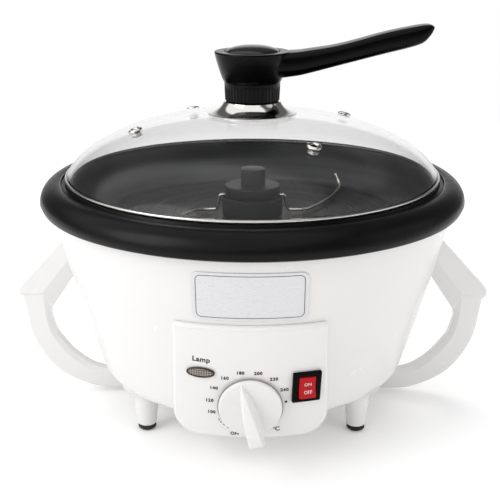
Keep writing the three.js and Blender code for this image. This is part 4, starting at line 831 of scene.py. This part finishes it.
def rim():
    """Black ring with a round shoulder, a ledge under the pan's lip and a fine bead round its mouth, painted grey as a
    highlight line along the lip.
    """
    line = rounded([(134.6, 145.5), (138.1, 145.5, 0.4), (143.4, 147.6, 1.6), (145, 151.2)], False)[:-1]
    line += [(132.6 + 12.4 * cos(turn), 151.2 + 12.4 * sin(turn)) for turn in (QUARTER * k / 28 for k in range(29))]
    line += rounded([(132.6, 163.6), (131.0, 163.2, 0.5), (131.0, 161.6), (124.4, 161.6, 0.4),
                     (124.4, 158.6), (134.6, 158.6)], False)[1:]
    body = lathe("body", line, RIM, 192)
    # The bead's grey is a painted highlight: it stands in for light caught on the rim's lip
    bead = lathe("bead", oval(0.42, 0.42, 12, 131.35, 162.9), LIP_HIGHLIGHT, 192)
    keep(joined("black_rim", [body, bead], 32), "housing", "black_plastic", "rim")


def pan():
    """Coated pan with a hollow neck round the shaft; its lip takes the rim's black as painted shade in the groove under
    the lid ring.
    """
    floor_z, floor_edge, rise, reach = 136.5, 101.0, 23.7, 21.3
    wall = [(97, floor_z), (floor_edge, floor_z + 0.05)]
    wall += [(floor_edge + o * reach, floor_z + u * rise) for o, u in ((0.22, 0.04), (0.45, 0.2), (0.8, 0.6))]
    curve = [tuple(p) for p in spline(wall + [(121.4, 160.2)], 30)]
    profile = [(6.5, 134.7), (97, 134.7)] + [(x + 1.1, z - 1.35) for x, z in curve[1:-1]]
    profile += rounded([(123.2, 160.2), (124.1, 162.9, 0.6), (126.7, 162.9), (126.7, 161.9, 0.3), (129.9, 161.9),
                        (129.9, 162.3), (127.9, 162.3, 0.3), (127.4, 164.6, 0.5), (122.3, 164.7, 1.6),
                        (121.4, 160.2)], False)
    profile += curve[-2:0:-1]
    profile += [(60, floor_z), (11, floor_z), (9.4, 136.75), (8.5, 137.6), (8.2, 138.6), (8.2, 145.6),
                (7.9, 146.0), (6.5, 146.0)]
    piece = lathe("non_stick_pan", profile, PAN, 192, smooth=40)
    # Lip faces outside r 122.4 get the rim's black: painted shade for the dark groove between the lid ring and the rim
    piece.data.materials.append(RIM)
    for face in piece.data.polygons:
        x, y, z = face.center / MM
        if hypot(x, y) > 122.4 and z > 160.5:
            face.material_index = 1
    keep(piece, "housing", "non_stick", "roasting_pan")


def stirrer():
    line = rounded([
        (0, 168.8), (9.1, 168.8, 0.9), (9.1, 157.5, 0.5), (19.2, 157.5, 0.9), (19.2, 151, 0.5), (17.8, 151),
        (17.8, 149), (20.8, 149, 0.9), (20.8, 137, 0.4), (9.1, 137), (9.1, 150.5), (0, 150.5)], False, 4)
    hub = lathe("stirrer_boss", line, HUB, 96, False, 30)
    flat = prism("flat", [(-16, -12), (-7.7, -12), (-7.7, 12), (-16, 12)], 157.5, 172, HUB)
    across = shift(0, 0, 150) @ Matrix.Rotation(QUARTER, 4, "Y")
    sockets = [bore(1.4, 12.8, 24, turn_z(turn) @ across, 16) for turn in (0, 180)]
    cut(hub, flat, bore(4.3, 146, 163.1, segments=40), *sockets, smooth=30)
    keep(hub, "stirrer", "hub_grey", "stirrer_hub")
    down = rounded([(13.1, 150), (22.2, 150, 1.5), (25.2, 139.15, 1.8), (34.0, 139.0)], False, 6)
    bends = ((34, 0, 139), (38.6, 2.9, 139), (43.8, 9.5, 139), (49, 19, 139), (55.6, 34, 139),
             (61.2, 50, 139), (65.4, 64, 139), (66.6, 73, 139.6), (65.6, 78.2, 142.6), (63.6, 80.4, 147))
    path = [(x, 0, z) for x, z in down] + spline(bends, 90)[1:]
    for side, turn in (("right", 0), ("left", 180)):
        bar = place(tube(f"stirring_wire_{side}", path, 1.1, WIRE), turn_z(turn))
        keep(bar, "stirrer", "bright_wire", f"stirrer_wire_{side}")


# ---- fascia and controls

def fascia_outline(by):
    top, bottom, low, high = 46.5 - by, 48.5 - by, 24 + by, FASCIA_TOP - by
    corner = max(15 - by, 2)
    shoulder = max(2.4 - by, 0.4)
    corners = [(-bottom, low, corner), (bottom, low, corner), (top, high, shoulder), (-top, high, shoulder)]
    return rounded(corners, steps=12)


def densified(outline, most=2.4):
    result = []
    for a, b in zip(outline, outline[1:] + outline[:1]):
        a, b = Vector(a), Vector(b)
        parts = max(1, ceil((b - a).length / most))
        result += [tuple(a.lerp(b, k / parts)) for k in range(parts)]
    return result


def cone_point(x, z, lift):
    far = fascia_radius(z) + lift
    return (x, -sqrt(max(0, far * far - x * x)), z)


def shrunk(outline, middle, part):
    middle = Vector(middle)
    return [middle + (Vector(p) - middle) * part for p in outline]


def fascia_form(name, by, edge):
    """Solid behind the cone: rounded front edge, straight sides and a flat back."""
    outline = densified(fascia_outline(by))
    loops = [[(x, -84, z) for x, z in outline]]
    for k in range(7 if edge else 1):
        part = QUARTER * k / 6
        ring = inset(outline, edge * (1 - cos(part))) if k else outline
        loops.append([cone_point(x, z, -by - edge * (1 - sin(part))) for x, z in ring])
    flat = inset(outline, edge) if edge else outline
    for k in range(1, 22):
        loops.append([cone_point(*p, -by) for p in shrunk(flat, (0, 62), 1 - k / 22)])
    return loft(name, loops, WHITE, 30)


def fascia():
    piece = fascia_form("control_fascia", 0, 2.0)
    hollow = fascia_form("hollow", 2.4, 0)
    switch_hole = place(prism("switch_hole", box(7.3, -9.3, 9.3), -12, 8, WHITE), on_fascia(*SWITCH_AT))
    lamp_hole = place(prism("lamp_hole", oval(8.5, 3.1, 40), -12, 8, WHITE), on_fascia(*LAMP_AT))
    cut(piece, hollow, bowl_form(0.3), bore(3.8, -12, 8, on_fascia(*KNOB_AT)), switch_hole, lamp_hole, smooth=30)
    keep(joined("control_fascia", [piece, top_step()]), "housing", "white_plastic", "fascia")


def top_step():
    """Thin raised line that runs along under the fascia's top edge."""
    loops = []
    for k in range(61):
        x = -43.6 + 87.2 * k / 60
        fade = min(1, (k + 0.2) / 3, (60.2 - k) / 3)
        low, high = 0.02 * fade, 0.26 * fade
        rise = ((-0.55, -0.3), (-0.5, low), (-0.2, high), (0.2, high), (0.5, low), (0.55, -0.3))
        loops.append([cone_point(x, 100.3 + dz, lift) for dz, lift in rise])
    return loft("step", loops, WHITE, 60)


def front_plate():
    """Bare silvery plate on the bowl, with a thin line round it."""
    def on_bowl(points, lift):
        return [(x, -sqrt((bowl_radius(z) + lift) ** 2 - x * x), z) for x, z in points]

    def sheet(outline, low, high):
        return [on_bowl(outline, low), on_bowl(outline, high - 0.12), on_bowl(inset(outline, 0.15), high)]

    outline = densified(round_box(34.5, 105.6, 138, 4.5), 1.6)
    loops = sheet(outline, 0.3, 0.78)
    for k in range(1, 16):
        loops.append(on_bowl(shrunk(inset(outline, 0.15), (0, 121.8), 1 - k / 16), 0.78))
    plate = loft("plate", loops, FILM, 30)
    line = densified(round_box(32.3, 107.4, 136.4, 3.6), 1.6)
    inner = inset(line, 0.6)
    loops = sheet(line, 0.7, 0.8) + [on_bowl(inner, 0.8), on_bowl(inner, 0.7)]
    border = made("border", [p for loop in loops for p in loop], bands(loops, len(loops)), BORDER, 30)
    keep(joined("front_plate_bare", [plate, border]), "housing", "silver_film", "front_plate")


KNOB_RADIUS, FIN_ASIDE = 19.6, 0.7


def knob():
    """Round disc with a fin that widens and rises toward its front end, and a thin grey-brown ring at the disc's back
    edge as painted shade for the gap against the fascia.
    """
    disc = lathe("disc", rounded([
        (0, 1), (19.2, 1, 0.3), (19.6, 2.0, 0.3), (19.3, 3.7, 0.5), (18.6, 4.05, 0.4), (14, 4.3), (5.5, 4.6), (0, 4.6)],
        False, 4), WHITE, 128, False)
    half = spline([(-0.94, 0.025), (-0.5, 0.15), (0, 0.225), (0.5, 0.25), (0.97, 0.255)], 60)
    high = spline([(-0.94, 0.04), (-0.4, 0.6), (0.3, 0.92), (0.85, 1), (0.97, 0.95)], 60)

    sections = []
    for k in range(41):
        along = -0.94 + 1.88 * k / 40
        wide = between(half, along) * KNOB_RADIUS
        tall = 4.0 + between(high, along) * 15
        top = wide * (0.62 + 0.26 * k / 40)
        soft = min(0.9, top * 0.8)
        loop = [(wide + 0.45 * min(1, tall / 12), 1.9), (top + 0.1, tall - soft)]
        for step in range(1, 6):
            part = QUARTER * step / 5
            loop.append((top - soft + soft * cos(part) - 0.15, tall - soft + soft * sin(part)))
        loop += [(-x, z) for x, z in loop[::-1]]
        sections.append([(x - FIN_ASIDE, -along * KNOB_RADIUS, z) for x, z in loop])
    last = sections[-1]
    shoulder = last[4][2]
    for inward, out in ((0.35, 0.28), (0.8, 0.45)):
        loop = []
        for x, y, z in last:
            side = x + FIN_ASIDE
            low = min(z, shoulder - inward) if z > (1.9 + shoulder) / 2 else z
            loop.append((x - copysign(min(inward, abs(side)), side), y - out, low))
        sections.append(loop)
    fin = loft("fin", sections, WHITE, 35)
    # Grey-brown ring round the disc's foot: painted shade standing in for the shadow gap between knob and fascia
    edge = rounded([(19.3, 0.9), (20.2, 0.9, 0.2), (20.2, 1.6, 0.2), (19.3, 1.6)], steps=3)
    whole = joined("temperature_dial_knob", [disc, lathe("edge", edge, GAP_SHADE, 128, False), fin], 35)
    keep(place(whole, on_fascia(*KNOB_AT) @ turn_z(15)), "knob", "white_plastic", "temperature_knob")


def switch():
    bezel = prism("bezel", round_box(9, -10.4, 10.4, 0.9, 4), 0.4, 2.4, SWITCH, 0.6, 4)
    housing = cut(bezel, prism("body", box(7, -9, 9), -17, 1.2, SWITCH), operation="UNION")
    cut(housing, prism("pocket", round_box(5.7, -7.95, 7.95, 0.6, 3), -6.1, 9, SWITCH), smooth=30)
    keep(place(housing, on_fascia(*SWITCH_AT)), "housing", "switch_black", "switch_housing")
    half_width, edge, ridge, valley = 5.3, 0.35, 2.75, 1.3
    side = rounded([(-7, -1.8), (7, -1.8), (7, ridge, 0.5), (0, valley), (-7, ridge, 0.5)], steps=4)
    rims = ((0, edge), (edge * 0.3, edge * 0.3), (edge, 0))
    loops = []
    near = [(inward - half_width, by) for inward, by in rims]
    for x, by in near + [(-x, by) for x, by in near[::-1]]:
        loops.append([(x, y - copysign(by, y) * (abs(y) > 6), z - by * (z > 0)) for y, z in side])
    parts = [loft("rocker", loops, RED, 30), tube("pins", [(-6.1, 0, 0), (6.1, 0, 0)], 0.5, RED, blunt=False)]
    slope = atan2(1.5, 7)
    for text, y in (("ON", 1.792), ("OFF", -3.208)):
        tilt = Matrix.Rotation(copysign(slope, y), 4, "X")
        parts.append(place(lettering(text, 2.2, PALE_INK), shift(0.3, y, valley + abs(y) * tan(slope) + 0.05) @ tilt))
    whole = joined("red_rocker", parts)
    place(whole, on_fascia(*SWITCH_AT) @ shift(0, 0, 1.2) @ Matrix.Rotation(radians(-9), 4, "X"))
    keep(whole, "rocker", "rocker_red", "switch_rocker")


def lettering(text, size, material, weight=0.0, spacing=1.0):
    """Flat printed letters, centred on their own middle, as a thin mesh."""
    data = bpy.data.curves.new("text", "FONT")
    data.body = text
    data.size = size * MM * 1.4
    data.align_x = "CENTER"
    data.align_y = "CENTER"
    data.offset = weight * MM
    data.space_character = spacing
    data.extrude = 0.03 * MM
    data.resolution_u = 3
    holder = linked("text", data)
    depsgraph = bpy.context.evaluated_depsgraph_get()
    mesh = bpy.data.meshes.new_from_object(holder.evaluated_get(depsgraph))
    bpy.data.objects.remove(holder)
    mesh.materials.clear()
    mesh.materials.append(material)
    return linked("word", mesh)


def wrapped(piece, x, z, turn=0.0, lift=0.03):
    """Lays a flat piece on the fascia's cone with its middle at x, z."""
    c, s = cos(radians(turn)), sin(radians(turn))
    for vertex in piece.data.vertices:
        u, v = vertex.co.x / MM, vertex.co.y / MM
        at_x, at_z = x + u * c - v * s, z + (u * s + v * c) * cos(FASCIA_LEAN)
        vertex.co = Vector(cone_point(at_x, at_z, lift + vertex.co.z / MM)) * MM
    return piece


def dial_print():
    marks = (("100", -24.0, 42.2), ("120", -25.1, 50.5), ("140", -22.3, 59.7), ("160", -15.5, 67.2),
             ("180", -6.0, 71.2), ("200", 4.8, 71.0), ("220", 14.3, 66.7), ("240", 20.8, 58.8), ("OFF", -9.6, 27.3))
    parts = [wrapped(lettering(text, 2.15, INK, 0.14, 1.16), x, z, lift=0.06) for text, x, z in marks]
    parts.append(wrapped(lettering("C", 3.0, INK, 0.12), 16.7, 30.6))
    parts.append(wrapped(lettering("o", 1.5, INK, 0.08), 14.7, 31.5))
    parts.append(wrapped(lettering("Lamp", 3.4, INK, 0.16, 1.08), -29.7, 79.0, -3))
    parts.append(wrapped(prism("dot", oval(0.85, 0.85, 20), -0.02, 0.04, INK), 21.8, 50.1))
    for x, z, turn in ((-19.4, 37.1, -52), (-18.2, 35.3, -48), (-16.4, 33.5, -42), (-13.9, 31.3, -35)):
        parts.append(wrapped(prism("dash", box(0.66, -0.26, 0.26), -0.02, 0.04, INK), x, z, turn))
    keep(joined("dial_printing", parts), "housing", None)


def lamp():
    def ovals(name, rows, material, smooth):
        return loft(name, [[(x, y, z) for x, y in oval(wide, tall, 56)] for wide, tall, z in rows], material, smooth)

    edge = ovals("edge", ((9.0, 3.6, 0.35), (9.0, 3.6, 1.0), (8.85, 3.45, 1.35), (8.5, 3.1, 1.5), (8.2, 2.8, 1.35),
                          (8.1, 2.7, 0.9)), BROWN, 40)
    lens = ovals("lens", ((8.0, 2.6, -2.6), (8.1, 2.7, 1.0), (7.7, 2.35, 1.42), (6.4, 1.9, 1.62), (4.2, 1.25, 1.74),
                          (1.6, 0.5, 1.78)), SMOKE, 60)
    whole = place(joined("oval_lamp_lens", [edge, lens], 45), on_fascia(*LAMP_AT))
    keep(whole, "housing", "lamp_smoke", "lamp_lens")


# ---- glass lid

DOME_WIDE, DOME_TALL, DOME_Z, GLASS_THICK = 129.8, 52.8, 155.8, 4.0
GLASS_EDGE, GLASS_EDGE_Z, GLASS_HOLE = 126.7, 166.1, 2.6
VENT_ANGLES, VENT_OUT = (-61, 34, 124, -166), 79.7
CUP_SEAT, CAP_SEAT, CAP_RECESS = 215, 244.9, 18.6


def dome_height(radius, by=0.0):
    return DOME_Z + (DOME_TALL - by) * sqrt(1 - (radius / (DOME_WIDE - by)) ** 2)


def dome_line(by, edge, count=48):
    wide, tall = DOME_WIDE - by, DOME_TALL - by
    start, end = asin(edge / wide), asin(GLASS_HOLE / wide)
    turns = [start + (end - start) * k / count for k in range(count + 1)]
    return [(wide * sin(turn), DOME_Z + tall * cos(turn)) for turn in turns]


def vent_places():
    slope = atan2(dome_height(VENT_OUT - 1) - dome_height(VENT_OUT + 1), 2)
    at = shift(VENT_OUT, 0, dome_height(VENT_OUT)) @ Matrix.Rotation(slope, 4, "Y")
    return [turn_z(angle) @ at for angle in VENT_ANGLES]


def lid_glass():
    inner_edge = (DOME_WIDE - GLASS_THICK) * sqrt(1 - ((GLASS_EDGE_Z - DOME_Z) / (DOME_TALL - GLASS_THICK)) ** 2)
    profile = [(inner_edge, GLASS_EDGE_Z), (GLASS_EDGE, GLASS_EDGE_Z)] + dome_line(0, GLASS_EDGE)
    profile += dome_line(GLASS_THICK, inner_edge)[:0:-1]
    piece = lathe("glass_dome", profile, GLASS, 160, smooth=50)
    cut(piece, *(bore(2.9, -12, 8, at) for at in vent_places()), smooth=50)
    keep(piece, "lid", "lid_glass", "lid_glass")


def lid_ring():
    line = rounded([(123.2, 165.0, 0.2), (126.6, 165.0, 0.3), (127.8, 165.8, 0.4), (127.8, 167.1, 0.6),
                    (126.2, 167.3, 0.4), (125.7, 165.8, 0.3), (123.2, 165.8, 0.2)])
    keep(lathe("steel_ring", line, STEEL, 192), "lid", "lid_steel", "lid_ring")


def eyelets():
    line = rounded([(1.9, -5.4), (3.5, -5.4, 0.35), (3.5, -4.5, 0.3), (2.6, -4.5), (2.6, 0.3), (4.8, 0.3, 0.4),
                    (4.8, 1.4, 0.8), (3.4, 2.2, 0.9), (1.9, 1.5, 0.6)])
    for i, at in enumerate(vent_places(), 1):
        piece = place(lathe(f"rolled_eyelet_{i}", line, CHROME, 48), at)
        keep(piece, "lid", "lid_steel", f"vent_eyelet_{i}")


def skirt():
    """Bright hollow cone between the glass and the grip."""
    base = dome_height(30.4) + 0.3
    rise = CUP_SEAT - base
    shape = ((1, 0.04), (0.78, 0.11), (0.55, 0.22), (0.35, 0.38), (0.2, 0.56), (0.08, 0.78), (0, 1))
    outside = [tuple(p) for p in spline([(19.4 + o * 11.0, base + u * rise) for o, u in shape], 26)]
    inside = [(x - 0.8, z - 0.8) for x, z in outside[2:-1]][::-1]
    profile = [(29.6, base), (30.4, base)] + outside + [(2.3, CUP_SEAT), (2.3, CUP_SEAT - 0.8)] + inside
    keep(lathe("chrome_skirt", profile, CHROME, 128, smooth=45), "lid", "skirt_chrome", "lid_skirt")


def lid_screw():
    seat = dome_height(3.8, GLASS_THICK) - 0.3
    line = rounded([(0, seat - 3), (2.85, seat - 3, 0.5), (3.8, seat - 1.8, 0.5), (3.8, seat), (2, seat),
                    (2, 239), (0, 239)], False, 4)
    piece = lathe("dome_screw", line, SCREW, 40, False)
    cut(piece, prism("slot", box(3, -0.45, 0.45), seat - 4, seat - 2, SCREW), smooth=30)
    keep(piece, "lid", "screw_steel", "lid_screw")


# The lever: upper and lower points as shares of its reach and rise, and its half width along the reach
ARM_PAIRS = [
    ((0.02, 0.53), (0.02, 0.062)), ((0.16, 0.53), (0.16, 0.08)), ((0.2, 0.532), (0.215, 0.1)),
    ((0.26, 0.545), (0.27, 0.125)), ((0.34, 0.58), (0.34, 0.178)), ((0.43, 0.623), (0.425, 0.247)),
    ((0.52, 0.684), (0.505, 0.312)), ((0.6, 0.75), (0.58, 0.372)), ((0.68, 0.822), (0.66, 0.438)),
    ((0.76, 0.885), (0.745, 0.505)), ((0.85, 0.944), (0.84, 0.578)), ((0.92, 0.984), (0.915, 0.646)),
    ((0.955, 0.998), (0.948, 0.7)), ((0.976, 0.998), (0.968, 0.765)), ((0.99, 0.985), (0.982, 0.825)),
    ((0.998, 0.962), (0.992, 0.885)),
]
ARM_HALF = [(0, 1), (0.15, 1), (0.3, 0.83), (0.55, 0.7), (0.8, 0.68), (0.93, 0.665), (0.965, 0.6), (0.99, 0.46),
            (1.0, 0.3)]
ARM_BASE, ARM_REACH, ARM_RISE, ARM_HALF_WIDTH, ARM_SIDES = 228, 120, 38, 15, 40


def arm_section(upper, lower):
    top, low = (Vector((reach * ARM_REACH, ARM_BASE + rise * ARM_RISE)) for reach, rise in (upper, lower))
    half = between(ARM_HALF, (upper[0] + lower[0]) / 2) * ARM_HALF_WIDTH
    tall, up, middle = (top - low).length, (top - low).normalized(), (top + low) / 2
    loop = []
    for c, s in oval(1, 1, ARM_SIDES):
        power = 0.42 if s > 0 else 0.66
        spot = middle + up * (copysign(abs(s) ** power, s) * tall / 2)
        loop.append(Vector((spot.x, copysign(abs(c) ** power, c) * half, spot.y)))
    return loop


def lid_handle():
    """Cup with a fluted neck, and the lever that grows out of it."""
    flutes_end = 226.5

    def flutes(turn, radius, height):
        if height > flutes_end or radius < 15:
            return 1
        return 1 - 0.028 * min(1, (flutes_end - height) / 1.5) * (0.5 - 0.5 * cos(turn * 44))

    neck = [(0, 215.3), (17.6, 215.3), (18.4, 216.0)]
    neck += [(18.4 + 0.5 * k / 8, 216.0 + 11.4 * k / 8) for k in range(1, 9)]
    shape = ((0, 0), (0.2, 0.12), (0.4, 0.29), (0.61, 0.5), (0.8, 0.7), (0.93, 0.86), (1.0, 0.955))
    cup = [tuple(p) for p in spline([(18.9 + o * 6.5, 227.8 + u * 20.5) for o, u in shape], 22)]
    lip = rounded([(25.4, 247.3), (25.3, 248.3, 0.7), (18.9, 248.3, 0.35), (CAP_RECESS, 247.6, 0.3),
                   (CAP_RECESS, CAP_SEAT), (0, CAP_SEAT)], False, 4)
    body = lathe("cup", neck + cup + lip, GRIP, 176, False, 35, flutes)
    rows = [arm_section(*pair) for pair in ARM_PAIRS]
    runs = [spline([row[k] for row in rows], 70) for k in range(ARM_SIDES)]
    arm = loft("arm", list(zip(*runs)), GRIP, 50)
    cut(arm, bore(CAP_RECESS, CAP_SEAT, 275, segments=96), smooth=50)
    keep(joined("grip_with_arm", [body, arm], 42), "lid", "handle_black", "lid_handle")


def handle_cap():
    line = [(0, 245.2), (18.3, 245.2), (18.3, 246.7)]
    line += [(18.3 * cos(turn), 247.1 + 5.2 * sin(turn)) for turn in (QUARTER * k / 18 for k in range(18))]
    keep(lathe("domed_cap", line + [(0, 252.3)], CAP, 128, False, 40), "lid", "cap_grey", "handle_cap")


# ---- pieces that keep their CAD shape

KEPT = (
    (ZINC, "heat_shield heater_clamp_1 heater_clamp_2 motor_case motor_bracket thermostat"),
    (STEEL, "heating_element"),
    (NYLON, "overheat_fuse rotor_pinion drive_gear glow_lamp"),
    (COPPER, "sensor_bulb stator_coil capillary_tube"),
    (BRASS, "shaft_bush"),
    (SCREW, "bracket_screw_1 bracket_screw_2 motor_rotor drive_shaft thermostat_spindle handle_screw_1 handle_screw_2 "
            "handle_screw_3 handle_screw_4 fascia_screw_1 fascia_screw_2"),
    (RUBBER, "lid_gasket"),
)


def dress_kept():
    for material, names in KEPT:
        for name in names.split():
            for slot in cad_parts[name].material_slots:
                slot.link = "OBJECT"
                slot.material = material


# ---- floor

def floor():
    """White floor that keeps the shadow and glows a little where it is seen."""
    mesh = bpy.data.meshes.new("floor")
    mesh.from_pydata([(-2.4, -2.4, 0), (2.4, -2.4, 0), (2.4, 1.05, 0), (-2.4, 1.05, 0)], [], [(0, 1, 2, 3)])
    ground = linked("floor", mesh)
    paint = Paint("floor_white", (0.96, 0.955, 0.95), 0.7)
    paint.set(Specular_IOR_Level=0.2)
    glow = paint.node("ShaderNodeEmission")
    path = paint.node("ShaderNodeLightPath").outputs
    seen = paint.value("MAXIMUM", path["Is Camera Ray"],
                       paint.value("MAXIMUM", path["Is Glossy Ray"], path["Is Transmission Ray"]))
    paint.link(paint.value("MULTIPLY", seen, 0.16), glow.inputs["Strength"])
    add = paint.node("ShaderNodeAddShader")
    paint.link(paint.shader.outputs[0], add.inputs[0])
    paint.link(glow.outputs[0], add.inputs[1])
    paint.link(add.outputs[0], paint.tree.nodes["Material Output"].inputs["Surface"])
    mesh.materials.append(paint.material)


for build in (outer_shell, foot_pads, side_handles, base_cover, cover_screws, cord_inlet, rim, pan, stirrer,
              fascia, front_plate, knob, switch, dial_print, lamp, lid_glass, lid_ring, eyelets, skirt,
              lid_screw, lid_handle, handle_cap, dress_kept, floor):
    build()

scene.view_settings.view_transform = "Standard"
